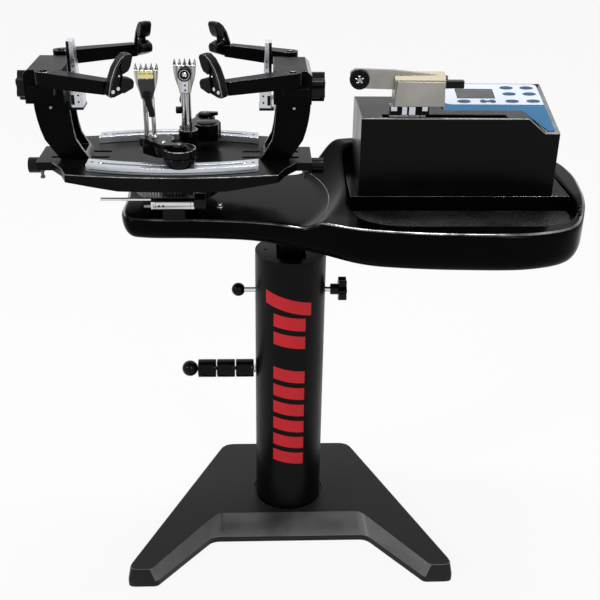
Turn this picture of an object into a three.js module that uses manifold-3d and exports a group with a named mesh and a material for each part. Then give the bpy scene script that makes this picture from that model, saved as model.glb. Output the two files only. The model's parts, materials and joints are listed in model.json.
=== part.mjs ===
// Floor-standing electronic racket stringing machine.
// Millimetres, +Z up, X to the user's right, Y away from the user.
// The origin is on the floor under the column's axis.
import * as THREE from 'three';
import { mergeVertices } from 'three/addons/utils/BufferGeometryUtils.js';
import Module from 'manifold-3d';

const wasm = await Module();
wasm.setup();

// Clearances and cutter overrun shared by every fit
const gap = 0.3;
const runningGap = 0.6;
const overrun = 2;

// Facets round a circle, by the size of the round piece
const fineSides = 40;
const roundSides = 24;
const smallSides = 12;

// Foot
const foot = {
  height: 42, lip: 14, rearHalf: 151, rearY: 173, toeHalf: 332, toeReach: 258, toeWidth: 64,
  forkHalf: 163, forkY: -129, bevel: 44, sideBevel: 5, toeBevel: 5, rearRound: 32, forkRound: 30,
  toeRound: 14, recessDepth: 6, recessGap: 6,
};

// Column and its fittings
const column = { radius: 70, wall: 3.5, top: 623, lid: 6, mouthHalf: 28, mouthFront: 45, mouthRear: 33,
  screw: 3 };
const post = { halfX: 22, halfY: 25, wall: 4, bottom: 330, top: 690, grooveWidth: 8, grooveDepth: 2,
  grooveX: 9 };
const heightLock = {
  drop: 87, stud: 5, hubRadius: 11, hubStart: 80, hubEnd: 96, headEnd: 112, headRadius: 21, lobe: 8, lobes: 7,
};
const lockZ = column.top - heightLock.drop;
const plunger = { rod: 5, ball: 13.5, ballX: -103.5, travel: 12 };
const reel = {
  z: 353.6, shaft: 4, roller: 18.8, rollerLength: 37, pitch: 39, firstX: -74, nut: 9, nutLength: 6,
  nutGap: 1.5,
  ballRadius: 16.5, ballGap: 0.5, rollers: 3, groove: 1.5,
};

// Head casing with its tool tray
const body = {
  neckReach: 313, hubInset: 99, trayReach: 560, trayFront: 217, trayRear: 188,
  neckTop: 730, neckBottom: 688, trayBottom: 671, wall: 4,
  rimFront: 745, rimRight: 758, rimLeft: 793, clearRadius: 285, flank: 1,
  undercut: 18, undercutMid: 5, roundLow: 14, roundHigh: 30,
  leftFrom: -140, leftTo: 150, rightFrom: -175, rightTo: -45, bottomFrom: -100, bottomTo: 160,
};
const tray = {
  left: 104, right: 520, front: -174, rear: 150, floor: 725, platform: 755, stepY: -58,
  frontLeftRound: 105, frontRightRound: 105, rearRound: 45, matInset: 3, matThick: 2.7,
};
const chassis = {
  endInset: 33, right: 430, halfY: 45, bottom: 690, wall: 4, riserLeft: 150, riserRight: 415,
  hub: 38, hubTop: 748, spindle: 15, spindleTop: 784, boltX: -134, boltY: -46, bolt: 4.5, boltHead: 4,
};

// Turntable on its spindle
const turn = {
  x: body.hubInset - body.neckReach, top: 816, sheet: 5, skirtEnd: 15, skirtMid: 27, wall: 6, endX: 250,
  endHalf: 49,
  cornerX: 187, cornerY: 113, shoulderOut: 12, waistOut: 34, bulge: 18, bellyFlat: 95, boss: 42,
  bossBottom: 786.7,
  slotStart: 122, slotEnd: 226, slotY: 17, slotWidth: 8,
};
const drum = { radius: 78, bottom: 749, rim: 6, teeth: 40, toothDepth: 1.6, web: 8 };
const rail = { halfLength: 152, radius: 514, width: 33, midY: 120, thick: 12.5, groove: 8, grooveDepth: 6,
  grooveHalf: 128 };
const slideKnob = { radius: 14, length: 23, z: 795, screw: 5, screwStart: 118, ribs: 14, ribDepth: 1,
  lead: 10 };

// Brake below the turntable
const brake = {
  y: -102, z: 757, leftReach: 36, rightReach: 37, radius: 10, footHalf: 20, footY: 9, shoeZ: 6,
  knobRise: 4.5,
  rodReach: 130, leverRadius: 2, leverRise: 9, collar: 3.5, collarRadius: 11.5, knobLength: 20,
  knobRadius: 14.5,
  axle: 4, ribs: 12, ribDepth: 1,
};

// Towers, drawn for the right-hand one with x running outwards
const tower = {
  x: 154, footWidth: 54, halfY: 30, cheek: 6, web: 8, footHeight: 12, headBottom: 925, lean: 38,
  midLean: 26,
  midShare: 0.52, leanLag: 0.22, neckWidth: 54, lugHalf: 13, lugBottom: 787, lugGap: 5, tab: 7,
};
const head = {
  inner: 179, outer: 246, halfY: 56, top: 985, leftShift: 7, earInner: 194, earThick: 14, earReach: 98,
  chamfer: 8, pin: 6, pinTop: 986,
};
const arm = { x: 211, y: 82, bottom: 964, height: 26, tipHeight: 22, width: 30, tipWidth: 20, eye: 15 };
const armKnob = { z: 944, radius: 23, lobe: 8, lobes: 6, start: 246.4, length: 25, shaft: 5, shaftIn: 204 };
const jaw = { height: 68, depth: 46, thick: 22, centreZ: 998, attach: 10 };
const jawPlaces = {
  left_front: { x: 76, y: 146, turn: 32 }, left_rear: { x: 69, y: 146, turn: 58 },
  right_front: { x: 79, y: 146, turn: 36 }, right_rear: { x: 80, y: 146, turn: 46 },
};
const jawShares = [
  [0.46, -0.32], [0.5, -0.18], [0.44, -0.1], [0.12, -0.03], [0.12, 0.04], [0.32, 0.12], [0.4, 0.22],
  [0.5, 0.44],
  [0.44, 0.5], [0.24, 0.5], [0.02, 0.4], [-0.2, 0.2], [-0.38, -0.08], [-0.48, -0.34], [-0.5, -0.44],
  [-0.42, -0.5], [-0.26, -0.5], [0.1, -0.42],
];
const support = {
  inner: 154, blockTop: 940, bottom: 905, blockOuter: 182, bladeFoot: 956, bladeInner: 165, bladeOuter: 176,
  bladeTop: 1025, halfY: 20, bladeHalfY: 13, stemTop: 925, stemOuter: 214, stemHalfY: 15, base: 7,
};

// String clamps on the glide rails
const clampBase = {
  radius: 20, skirt: 27, height: 25, skirtHeight: 9, guide: 3.2, guideDepth: 4, stud: 5.7, frontX: 14,
  rearX: 49,
  leverLength: 36, leverWidth: 12, leverThick: 6, hubShare: 0.55, capShare: 0.9,
};
const swivel = { thick: 7.5, width: 24, hub: 17, frontX: -48, frontY: -40, rearX: 19, rearY: 25,
  postHub: 14 };
const clampPost = {
  rod: 8.5, collar: 9.4, topHalf: 20.5, bottomHalf: 10, below: 4, tooth: 10, depth: 9, split: 0.4, teeth: 5,
  toothWidth: 4, toothDepth: 4, shoulderShare: 0.62, neckShare: 0.85,
};
const clampHeads = {
  front: { bottom: 932, top: 983, shift: 5 }, rear: { bottom: 926, top: 977, shift: 0 },
};
const clampLever = { pivotZ: 941, width: 12, length: 42, thick: 7, eye: 5.6, standOff: 0.4 };
const clampKnob = { z: 962, radius: 12.5, length: 9, stem: 4 };

// Tensioner on the platform
const tension = {
  left: 121.5, right: 484, front: -56, rear: 95, top: 902, wall: 3, panelLeft: 276, panelRear: 113,
  panelRearTop: 923.5,
  slopeStart: 0, slopeStartTop: 891.5, stripRight: 425, chamferRight: 457, slotLeft: 160, slotRight: 386,
  slotFront: -49,
  slotRear: -31,
};
const panel = { margin: 5, marginRight: 9, thick: 1.6, frame: 2, keyRise: 0.8, keyHalfX: 13, keyHalfY: 5.4,
  keySides: 14, windowDepth: 0.8 };
const drive = { motorRadius: 27, motorLength: 88, motorX: 372, y: 34, z: 800, screw: 5, screwY: -40,
  screwZ: 866,
  plateThick: 5, screwLeft: 130, screwRight: 444, beamHalf: 11 };
const grip = {
  left: 172, right: 237, neckTop: 912, blockBottom: 856, blockTop: 898, headLeft: 180, headRight: 270,
  headBottom: 921,
  headTop: 966, headRear: -6, crownTop: 976, jawBack: -43, plateThick: 7, armLeft: 101, armTop: 983,
  armBottom: 949,
  armFront: -30, armRear: -21, rollerX: 117, rollerZ: 966, roller: 17.5, rollerThick: 10, pin: 4,
  footTop: 911,
  handleLeft: 272, handleRight: 307, handleBottom: 948, handleTop: 961, handleDepth: 14, post: 4,
};
const inlet = { halfX: 15, halfZ: 12, x: 410, z: 790, depth: 20, flange: 4, flangeGrow: 6, pin: 2,
  pinPitch: 7 };

// Colours seen in the photograph
const finish = (color, roughness,
  metalness) => new THREE.MeshStandardMaterial({ color, roughness, metalness });

// Volume inside a closed geometry, negative when its faces point inwards
function signedVolume(geometry) {
  const p = geometry.attributes.position;
  const index = geometry.index.array;
  const [a, b, c] = [new THREE.Vector3(), new THREE.Vector3(), new THREE.Vector3()];
  let sum = 0;
  for (let i = 0; i < index.length; i += 3) {
    a.fromBufferAttribute(p, index[i]);
    b.fromBufferAttribute(p, index[i + 1]);
    c.fromBufferAttribute(p, index[i + 2]);
    sum += a.dot(b.cross(c));
  }
  return sum / 6;
}

// Indexed copy of any closed geometry, with positions only and faces pointing out
function bare(geometry) {
  const plain = geometry.clone();
  plain.deleteAttribute('normal');
  plain.deleteAttribute('uv');
  const merged = mergeVertices(plain, 1e-4);
  if (signedVolume(merged) < 0) {
    const index = merged.index.array;
    for (let i = 0; i < index.length; i += 3) {
      [index[i], index[i + 1]] = [index[i + 1], index[i]];
    }
  }
  return merged;
}

function toSolid(geometry) {
  const plain = bare(geometry);
  const mesh = new wasm.Mesh({
    numProp: 3,
    vertProperties: Float32Array.from(plain.attributes.position.array),
    triVerts: Uint32Array.from(plain.index.array),
  });
  return new wasm.Manifold(mesh);
}

function toGeometry(solid) {
  const mesh = solid.getMesh();
  const positions = new Float32Array(mesh.numVert * 3);
  for (let i = 0; i < mesh.numVert; i += 1) {
    for (let k = 0; k < 3; k += 1) {
      positions[i * 3 + k] = mesh.vertProperties[i * mesh.numProp + k];
    }
  }
  const geometry = new THREE.BufferGeometry();
  geometry.setAttribute('position', new THREE.BufferAttribute(positions, 3));
  geometry.setIndex(new THREE.BufferAttribute(Uint32Array.from(mesh.triVerts), 1));
  return geometry;
}

const join = (...shapes) => toGeometry(shapes.map(toSolid).reduce((sum, next) => sum.add(next)));
const cut = (shape, ...tools) => toGeometry(tools.map(toSolid).reduce((left, tool) => left.subtract(tool),
  toSolid(shape)));
const common = (one, other) => toGeometry(toSolid(one).intersect(toSolid(other)));

// Block between two corners
function block(x0, x1, y0, y1, z0, z1) {
  const geometry = new THREE.BoxGeometry(x1 - x0, y1 - y0, z1 - z0);
  return geometry.translate((x0 + x1) / 2, (y0 + y1) / 2, (z0 + z1) / 2);
}

// Round bar along x, y or z between two places on that axis
function bar(axis, radius, start, end, sides = roundSides, endRadius = radius) {
  const geometry = new THREE.CylinderGeometry(endRadius, radius, end - start, sides);
  geometry.translate(0, (start + end) / 2, 0);
  if (axis === 'x') geometry.rotateZ(-Math.PI / 2);
  if (axis === 'z') geometry.rotateX(Math.PI / 2);
  return geometry;
}

// Solid of revolution about z from [radius, height] pairs
function turned(profile, sides = roundSides) {
  const points = profile.map(([radius, height]) => new THREE.Vector2(radius, height));
  return new THREE.LatheGeometry(points, sides).rotateX(Math.PI / 2);
}

// Outline pushed along z, y or x
function prism(axis, outline, start, end) {
  const shape = new THREE.Shape(outline.map(([u, v]) => new THREE.Vector2(u, v)));
  const geometry = new THREE.ExtrudeGeometry(shape, { depth: end - start, bevelEnabled: false });
  geometry.translate(0, 0, start);
  if (axis === 'y') {
    const swap = new THREE.Matrix4().set(1, 0, 0, 0, 0, 0, 1, 0, 0, 1, 0, 0, 0, 0, 0, 1);
    geometry.applyMatrix4(swap);
  }
  if (axis === 'x') {
    const swap = new THREE.Matrix4().set(0, 0, 1, 0, 1, 0, 0, 0, 0, 1, 0, 0, 0, 0, 0, 1);
    geometry.applyMatrix4(swap);
  }
  return geometry;
}

// Corner-rounded copy of a polygon; one radius per corner
function rounded(corners, radii, steps = 4) {
  const out = [];
  corners.forEach((corner, i) => {
    const here = new THREE.Vector2(...corner);
    const before = new THREE.Vector2(...corners[(i + corners.length - 1) % corners.length]);
    const after = new THREE.Vector2(...corners[(i + 1) % corners.length]);
    const radius = radii[i];
    const toBefore = before.sub(here).normalize();
    const toAfter = after.sub(here).normalize();
    const half = Math.acos(THREE.MathUtils.clamp(toBefore.dot(toAfter), -1, 1)) / 2;
    const reach = radius / Math.tan(half);
    for (let k = 0; k <= steps; k += 1) {
      const t = k / steps;
      const a = here.clone().addScaledVector(toBefore, reach * (1 - t) ** 2);
      const p = a.addScaledVector(toAfter, reach * t ** 2);
      out.push([p.x, p.y]);
    }
  });
  return out;
}

// Closed skin through rings that hold the same number of [x, y, z] points
function loft(rings) {
  const count = rings[0].length;
  const positions = rings.flat(2);
  const index = [];
  for (let r = 0; r + 1 < rings.length; r += 1) {
    for (let i = 0; i < count; i += 1) {
      const j = (i + 1) % count;
      const low = r * count;
      const high = low + count;
      index.push(low + i, low + j, high + j, low + i, high + j, high + i);
    }
  }
  const cap = (ring, start, flip) => {
    const flat = ring.map(([x, y]) => new THREE.Vector2(x, y));
    THREE.ShapeUtils.triangulateShape(flat, []).forEach(([a, b, c]) => {
      const [p, q] = flip ? [c, b] : [b, c];
      index.push(start + a, start + p, start + q);
    });
  };
  cap(rings[0], 0, true);
  cap(rings[rings.length - 1], (rings.length - 1) * count, false);
  const geometry = new THREE.BufferGeometry();
  geometry.setAttribute('position', new THREE.Float32BufferAttribute(positions, 3));
  geometry.setIndex(index);
  return geometry;
}

const atHeight = (outline, z) => outline.map(([x, y]) => [x, y, z]);

// Ring of lobes or ribs about an axis along z
function lobedDisc(radius, rise, lobes, start, end, steps) {
  const outline = [];
  const count = lobes * steps;
  for (let i = 0; i < count; i += 1) {
    const angle = (2 * Math.PI * i) / count;
    const r = radius + rise * Math.cos(lobes * angle);
    outline.push([r * Math.cos(angle), r * Math.sin(angle)]);
  }
  return prism('z', outline, start, end);
}

const alongX = (geometry) => geometry.rotateY(Math.PI / 2);

const machine = new THREE.Group();
machine.name = 'stringing_machine';

const paint = {
  cast: finish('#1b1b1d', 0.5, 0.3), tube: finish('#151517', 0.38, 0.4), casing: finish('#0c0c0d', 0.25, 0),
  mould: finish('#121213', 0.45, 0), steel: finish('#b8bbc0', 0.25, 1),
  silver: finish('#aeb6c2', 0.35, 0.9),
  mat: finish('#26272a', 0.95, 0), overlay: finish('#dfe4ec', 0.4, 0),
  stainless: finish('#a9a398', 0.35, 0.9),
  brass: finish('#b49a4a', 0.4, 0.6),
};

function add(group, name, geometry, material) {
  const mesh = new THREE.Mesh(bare(geometry), material.clone());
  mesh.name = name;
  group.add(mesh);
  return mesh;
}

// Fork-shaped plan of the foot, set in by the given amounts
function footPlan(side, fork, toe) {
  const rearX = foot.rearHalf - side;
  const rearY = foot.rearY - side;
  const toeX = foot.toeHalf - side;
  const toeY = toe - foot.toeReach;
  const innerX = foot.toeHalf - foot.toeWidth + fork / 4;
  const forkX = foot.forkHalf - fork / 5;
  const forkY = foot.forkY + fork;
  const corners = [
    [-rearX, rearY], [-toeX, toeY], [-innerX, toeY], [-forkX, forkY],
    [forkX, forkY], [innerX, toeY], [toeX, toeY], [rearX, rearY],
  ];
  const radii = [foot.rearRound, foot.toeRound, foot.toeRound, foot.forkRound].concat(
    [foot.forkRound, foot.toeRound, foot.toeRound, foot.rearRound]);
  return rounded(corners, radii);
}

function makeFoot() {
  const low = footPlan(0, 0, 0);
  const high = footPlan(foot.sideBevel, foot.bevel, foot.toeBevel);
  const slab = loft([atHeight(low, 0), atHeight(low, foot.lip), atHeight(high, foot.height)]);
  const seat = bar('z', column.radius + foot.recessGap, foot.height - foot.recessDepth,
    foot.height + overrun, fineSides);
  add(machine, 'base_casting', cut(slab, seat), paint.cast);
}

function makeColumn() {
  const inside = column.radius - column.wall;
  const low = foot.height - foot.recessDepth;
  const high = column.top - column.lid;
  const tube = turned([[inside, low], [column.radius, low], [column.radius, high], [inside, high],
    [inside, low]], fineSides);
  const lockHole = bar('x', heightLock.stud + gap, 0, column.radius + overrun).translate(0, 0,
    lockZ);
  const pinHole = bar('x', plunger.rod + gap, -column.radius - overrun, 0).translate(0, 0, lockZ);
  const reelHole = bar('x', reel.shaft + gap, -column.radius - overrun, 0).translate(0, 0, reel.z);
  add(machine, 'column_tube', cut(tube, lockHole, pinHole, reelHole), paint.tube);
  const lid = bar('z', column.radius, high, column.top, fineSides);
  const mouth = block(-column.mouthHalf, column.mouthHalf, -column.mouthFront, column.mouthRear,
    high - overrun, column.top + overrun);
  const screwX = (column.mouthHalf + column.radius) / 2;
  const screws = [-1, 1].map((side) => bar('z', column.screw, high - overrun, column.top + overrun,
    smallSides)
    .translate(side * screwX, 0, 0));
  add(machine, 'column_top_plate', cut(lid, mouth, ...screws), paint.tube);
}

function makePost(group) {
  const shell = block(-post.halfX, post.halfX, -post.halfY, post.halfY, post.bottom, post.top);
  const inX = post.halfX - post.wall;
  const inY = post.halfY - post.wall;
  const bore = block(-inX, inX, -inY, inY, post.bottom - overrun, post.top + overrun);
  const halfGroove = post.grooveWidth / 2;
  const grooves = [-1, 1].map((side) => block(
    side * post.grooveX - halfGroove, side * post.grooveX + halfGroove,
    -post.halfY - overrun, -post.halfY + post.grooveDepth, post.bottom - overrun, post.top + overrun));
  add(group, 'inner_post', cut(shell, bore, ...grooves), paint.tube);
}

// Hand knob with a stud that presses on the post, and the index plunger opposite
function makeHeightFittings() {
  const stud = bar('x', heightLock.stud, post.halfX + gap, heightLock.hubStart + overrun, smallSides);
  const hub = bar('x', heightLock.hubRadius, heightLock.hubStart, heightLock.hubEnd, roundSides);
  const headLength = heightLock.headEnd - heightLock.hubEnd;
  const disc = alongX(lobedDisc(heightLock.headRadius, heightLock.lobe / 2, heightLock.lobes, 0, headLength,
    8));
  disc.translate(heightLock.hubEnd, 0, 0);
  add(machine, 'height_lock_knob', join(stud, hub, disc), paint.mould).position.z = lockZ;
  const rod = bar('x', plunger.rod, plunger.ballX, -post.halfX - gap, smallSides);
  const ball = new THREE.SphereGeometry(plunger.ball, roundSides, smallSides).translate(plunger.ballX, 0,
    0);
  add(machine, 'index_plunger', join(rod, ball), paint.steel).position.z = lockZ;
}

function makeReel() {
  const inside = column.radius - column.wall;
  const nutStart = reel.nutGap - inside;
  const lastLeft = reel.firstX - (reel.rollers - 1) * reel.pitch - reel.rollerLength;
  const ballX = lastLeft - reel.ballRadius - reel.ballGap;
  const shaft = bar('x', reel.shaft, ballX, nutStart + reel.nutLength, smallSides);
  const nut = bar('x', reel.nut, nutStart, nutStart + reel.nutLength, 6);
  const ball = new THREE.SphereGeometry(reel.ballRadius, roundSides, smallSides).translate(ballX, 0, 0);
  add(machine, 'reel_spindle', join(shaft, nut, ball), paint.mould).position.z = reel.z;
  for (let i = 0; i < reel.rollers; i += 1) {
    const right = reel.firstX - i * reel.pitch;
    const left = right - reel.rollerLength;
    const inner = reel.shaft + gap;
    const waist = reel.roller - reel.groove;
    const mid = (left + right) / 2;
    const profile = [[inner, left], [waist, left], [reel.roller, left + reel.groove], [reel.roller, mid],
      [reel.roller, right - reel.groove], [waist, right], [inner, right], [inner, left]];
    const roller = alongX(turned(profile));
    add(machine, `reel_roller_${i + 1}`, roller, paint.mould).position.z = reel.z;
  }
}

// Plan of the head casing as shares of its reach left or right and front or rear
const bodyPlanShares = [
  [-1, 0], [-1, -0.323], [-0.958, -0.461], [-0.863, -0.507], [-0.527, -0.525], [-0.192, -0.581],
  [0.073, -0.742],
  [0.196, -0.885], [0.321, -0.954], [0.518, -1], [0.75, -0.986], [0.884, -0.83], [0.955, -0.461],
  [0.991, 0],
  [1, 0.372], [0.979, 0.745], [0.902, 0.957], [0.768, 1], [0.5, 1], [0.232, 1], [0.143, 0.915],
  [0.073, 0.8],
  [-0.192, 0.67], [-0.527, 0.606], [-0.863, 0.585], [-0.958, 0.532], [-1, 0.372],
];

function bodyCurve() {
  const points = bodyPlanShares.map(([sx, sy]) => new THREE.Vector3(
    sx * (sx < 0 ? body.neckReach : body.trayReach), sy * (sy < 0 ? body.trayFront : body.trayRear), 0));
  return new THREE.CatmullRomCurve3(points, true, 'centripetal');
}

// Body plan set in by a distance along its own normals
function bodyRing(inset, heightAt) {
  const curve = bodyCurve();
  const count = 80;
  const ring = [];
  for (let i = 0; i < count; i += 1) {
    const p = curve.getPoint(i / count);
    const t = curve.getTangent(i / count);
    const x = p.x - t.y * inset;
    const y = p.y + t.x * inset;
    ring.push([x, y, heightAt(p.x)]);
  }
  return ring;
}

const smooth = THREE.MathUtils.smoothstep;
const bodyBottom = (x) => THREE.MathUtils.lerp(body.neckBottom, body.trayBottom,
  smooth(x, body.bottomFrom, body.bottomTo));

// Height of the tray's rim, low in front and highest at the rear left
function rimHeight(x, y) {
  const leftRise = smooth(y, body.leftFrom, body.leftTo) * (body.rimLeft - body.rimFront);
  const rightRise = smooth(y, body.rightFrom, body.rightTo) * (body.rimRight - body.rimFront);
  return body.rimFront + THREE.MathUtils.lerp(leftRise, rightRise, smooth(x, tray.left, body.trayReach));
}

// Block whose top follows the rim height less a drop
function rimBlock(drop) {
  const [cellsX, cellsY] = [10, 12];
  const low = body.trayBottom - body.rimFront;
  const [left, front] = [-body.neckReach - body.wall, -body.trayFront - body.wall];
  const [right, rear] = [body.trayReach + body.wall, body.trayRear + body.wall];
  const positions = [];
  for (let layer = 0; layer < 2; layer += 1) {
    for (let j = 0; j <= cellsY; j += 1) {
      for (let i = 0; i <= cellsX; i += 1) {
        const alongShare = (i - 1) / (cellsX - 1);
        const x = i === 0 ? left : right * alongShare;
        const y = THREE.MathUtils.lerp(front, rear, j / cellsY);
        positions.push(x, y, layer ? rimHeight(x, y) - drop : body.rimFront + low * 2);
      }
    }
  }
  const index = [];
  const at = (layer, i, j) => (layer * (cellsY + 1) + j) * (cellsX + 1) + i;
  const quad = (a, b, c, d) => index.push(a, b, c, a, c, d);
  for (let j = 0; j < cellsY; j += 1) {
    for (let i = 0; i < cellsX; i += 1) {
      quad(at(1, i, j), at(1, i + 1, j), at(1, i + 1, j + 1), at(1, i, j + 1));
      quad(at(0, i, j), at(0, i, j + 1), at(0, i + 1, j + 1), at(0, i + 1, j));
    }
  }
  for (let i = 0; i < cellsX; i += 1) {
    quad(at(0, i, 0), at(0, i + 1, 0), at(1, i + 1, 0), at(1, i, 0));
    quad(at(0, i + 1, cellsY), at(0, i, cellsY), at(1, i, cellsY), at(1, i + 1, cellsY));
  }
  for (let j = 0; j < cellsY; j += 1) {
    quad(at(0, 0, j + 1), at(0, 0, j), at(1, 0, j), at(1, 0, j + 1));
    quad(at(0, cellsX, j), at(0, cellsX, j + 1), at(1, cellsX, j + 1), at(1, cellsX, j));
  }
  const geometry = new THREE.BufferGeometry();
  geometry.setAttribute('position', new THREE.Float32BufferAttribute(positions, 3));
  geometry.setIndex(index);
  return geometry;
}

// Rounded plan of the tray's hollow, grown by a wall thickness or set in
function trayPlan(grow, rearLimit) {
  const [x0, x1] = [tray.left - grow, tray.right + grow];
  const [y0, y1] = [tray.front - grow, rearLimit + grow];
  const rearRound = rearLimit === tray.rear ? tray.rearRound : runningGap;
  const corners = [[x0, y0], [x1, y0], [x1, y1], [x0, y1]];
  return rounded(corners, [tray.frontLeftRound, tray.frontRightRound, rearRound, rearRound], 6);
}

// Solid under the casing's outer skin, or under its inner skin when set in
function bodySkin(inset, bottomDrop) {
  const high = body.rimLeft + overrun;
  const rings = [
    bodyRing(body.undercut + inset, (x) => bodyBottom(x) - bottomDrop),
    bodyRing(body.undercutMid + inset, (x) => bodyBottom(x) + body.roundLow - bottomDrop / 2),
    bodyRing(inset, (x) => bodyBottom(x) + body.roundHigh),
    bodyRing(inset, () => high),
  ];
  const under = common(loft(rings), rimBlock(inset));
  const [swingLow, swingHigh] = [body.neckTop - inset, high + overrun];
  const topRadius = body.clearRadius + inset + (swingHigh - swingLow) * body.flank;
  const swing = bar('z', body.clearRadius + inset, swingLow, swingHigh, fineSides * 2, topRadius);
  const hollow = prism('z', trayPlan(inset, tray.rear), tray.platform - inset, high + overrun);
  const well = prism('z', trayPlan(inset, tray.stepY), tray.floor - inset, high + overrun);
  return cut(under, swing.translate(turn.x, 0, 0), hollow, well);
}

function makeBody(group) {
  const outer = bodySkin(0, 0);
  const inner = bodySkin(body.wall, overrun);
  const hubHole = bar('z', chassis.hub + runningGap, body.neckBottom,
    body.neckTop + overrun).translate(turn.x, 0, 0);
  const boltHole = bar('z', chassis.bolt + gap, body.neckBottom, body.neckTop + overrun, smallSides)
    .translate(chassis.boltX, chassis.boltY, 0);
  add(group, 'body_shell', cut(outer, inner, hubHole, boltHole), paint.casing);
  const plan = trayPlan(-tray.matInset, tray.stepY);
  const mat = prism('z', plan, tray.floor + gap, tray.floor + gap + tray.matThick);
  add(group, 'tray_mat', mat, paint.mat);
}

function makeChassis(group) {
  const chassisLeft = chassis.endInset - body.neckReach;
  const top = body.neckTop - body.wall - gap;
  const channel = block(chassisLeft, chassis.right, -chassis.halfY, chassis.halfY, chassis.bottom, top);
  const inY = chassis.halfY - chassis.wall;
  const trough = block(chassisLeft - overrun, chassis.right + overrun, -inY, inY, chassis.bottom - overrun,
    top - chassis.wall);
  const seat = block(-post.halfX * 2, post.halfX * 2, -inY, inY, chassis.bottom, top);
  const riserTop = tray.platform - body.wall - gap;
  const riser = block(chassis.riserLeft, chassis.riserRight, -inY, chassis.halfY, top - chassis.wall,
    riserTop);
  const riserIn = block(chassis.riserLeft - overrun, chassis.riserRight + overrun, chassis.wall - inY, inY,
    top, riserTop - chassis.wall);
  const hub = bar('z', chassis.hub, top - chassis.wall, chassis.hubTop).translate(turn.x, 0, 0);
  const spindle = bar('z', chassis.spindle, chassis.hubTop, chassis.spindleTop).translate(turn.x, 0, 0);
  const boltTop = body.neckTop + chassis.boltHead;
  const bolt = bar('z', chassis.bolt, top - chassis.wall, boltTop, smallSides).translate(chassis.boltX,
    chassis.boltY, 0);
  const boltPad = block(chassis.boltX - chassis.bolt * 2, chassis.boltX + chassis.bolt * 2,
    chassis.boltY - chassis.bolt * 2,
    -inY, top - chassis.wall, top);
  const frame = join(cut(channel, trough), seat, cut(riser, riserIn), hub, spindle, bolt, boltPad);
  add(group, 'chassis_frame', frame, paint.cast);
}

function makeBrake(group) {
  const [left, right] = [turn.x - brake.leftReach, turn.x + brake.rightReach];
  const barrel = bar('x', brake.radius, left, right, roundSides).translate(0, brake.y, brake.z);
  const midX = (left + right) / 2;
  const leverHole = bar('x', brake.axle + gap, left - overrun, midX, smallSides).translate(0, brake.y,
    brake.z);
  const knobHole = bar('x', brake.axle + gap, midX, right + overrun, smallSides)
    .translate(0, brake.y, brake.z + brake.knobRise);
  const stand = block(turn.x - brake.footHalf, turn.x + brake.footHalf, brake.y - brake.footY,
    brake.y + brake.footY,
    body.neckTop + gap, brake.z);
  const shoeFront = brake.y + brake.radius / 2;
  const shoe = block(turn.x - brake.footHalf, turn.x + brake.footHalf, shoeFront,
    -drum.radius - drum.toothDepth - runningGap, brake.z - brake.shoeZ, brake.z + brake.shoeZ);
  add(group, 'brake_barrel', cut(join(barrel, stand, shoe), leverHole, knobHole), paint.steel);
  const collar = bar('x', brake.collarRadius, left - gap - brake.collar, left - gap);
  const rod = bar('x', brake.leverRadius, turn.x - brake.rodReach, left - gap - brake.collar / 2,
    smallSides)
    .translate(0, 0, brake.leverRise);
  const stub = bar('x', brake.axle, left - brake.collar, midX - gap, smallSides);
  add(group, 'brake_lever', join(collar, rod, stub), paint.steel).position.set(0, brake.y, brake.z);
  const knobLeft = right + gap;
  const knob = alongX(lobedDisc(brake.knobRadius, brake.ribDepth / 2, brake.ribs, 0, brake.knobLength, 4));
  knob.translate(knobLeft, 0, 0);
  const knobStub = bar('x', brake.axle, midX + gap, knobLeft + overrun, smallSides);
  add(group, 'brake_knob', join(knob, knobStub), paint.mould).position.set(0, brake.y,
    brake.z + brake.knobRise);
}

// Half of the plate's outline, mirrored to both ends; the long sides bulge in an arc
function platePlan(inset) {
  const side = [];
  const steps = 8;
  const cornerX = turn.cornerX - inset / 2;
  for (let i = 0; i <= steps; i += 1) {
    const alongShare = (2 * i - steps) / steps;
    const bulgeShare = 1 - alongShare ** 2;
    side.push([alongShare * cornerX, inset - turn.cornerY - turn.bulge * bulgeShare]);
  }
  const waist = turn.endHalf - inset;
  const ends = [[turn.cornerX + turn.shoulderOut - inset, -(turn.cornerY + turn.endHalf) / 2 + inset],
    [turn.cornerX + turn.waistOut, -waist - inset / 4],
    [turn.endX - inset, -waist]];
  const right = ends.concat(ends.map(([x, y]) => [x, -y]).reverse());
  const far = side.map(([x, y]) => [-x, -y]);
  const left = right.map(([x, y]) => [-x, -y]);
  return side.concat(right, far, left);
}

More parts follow.
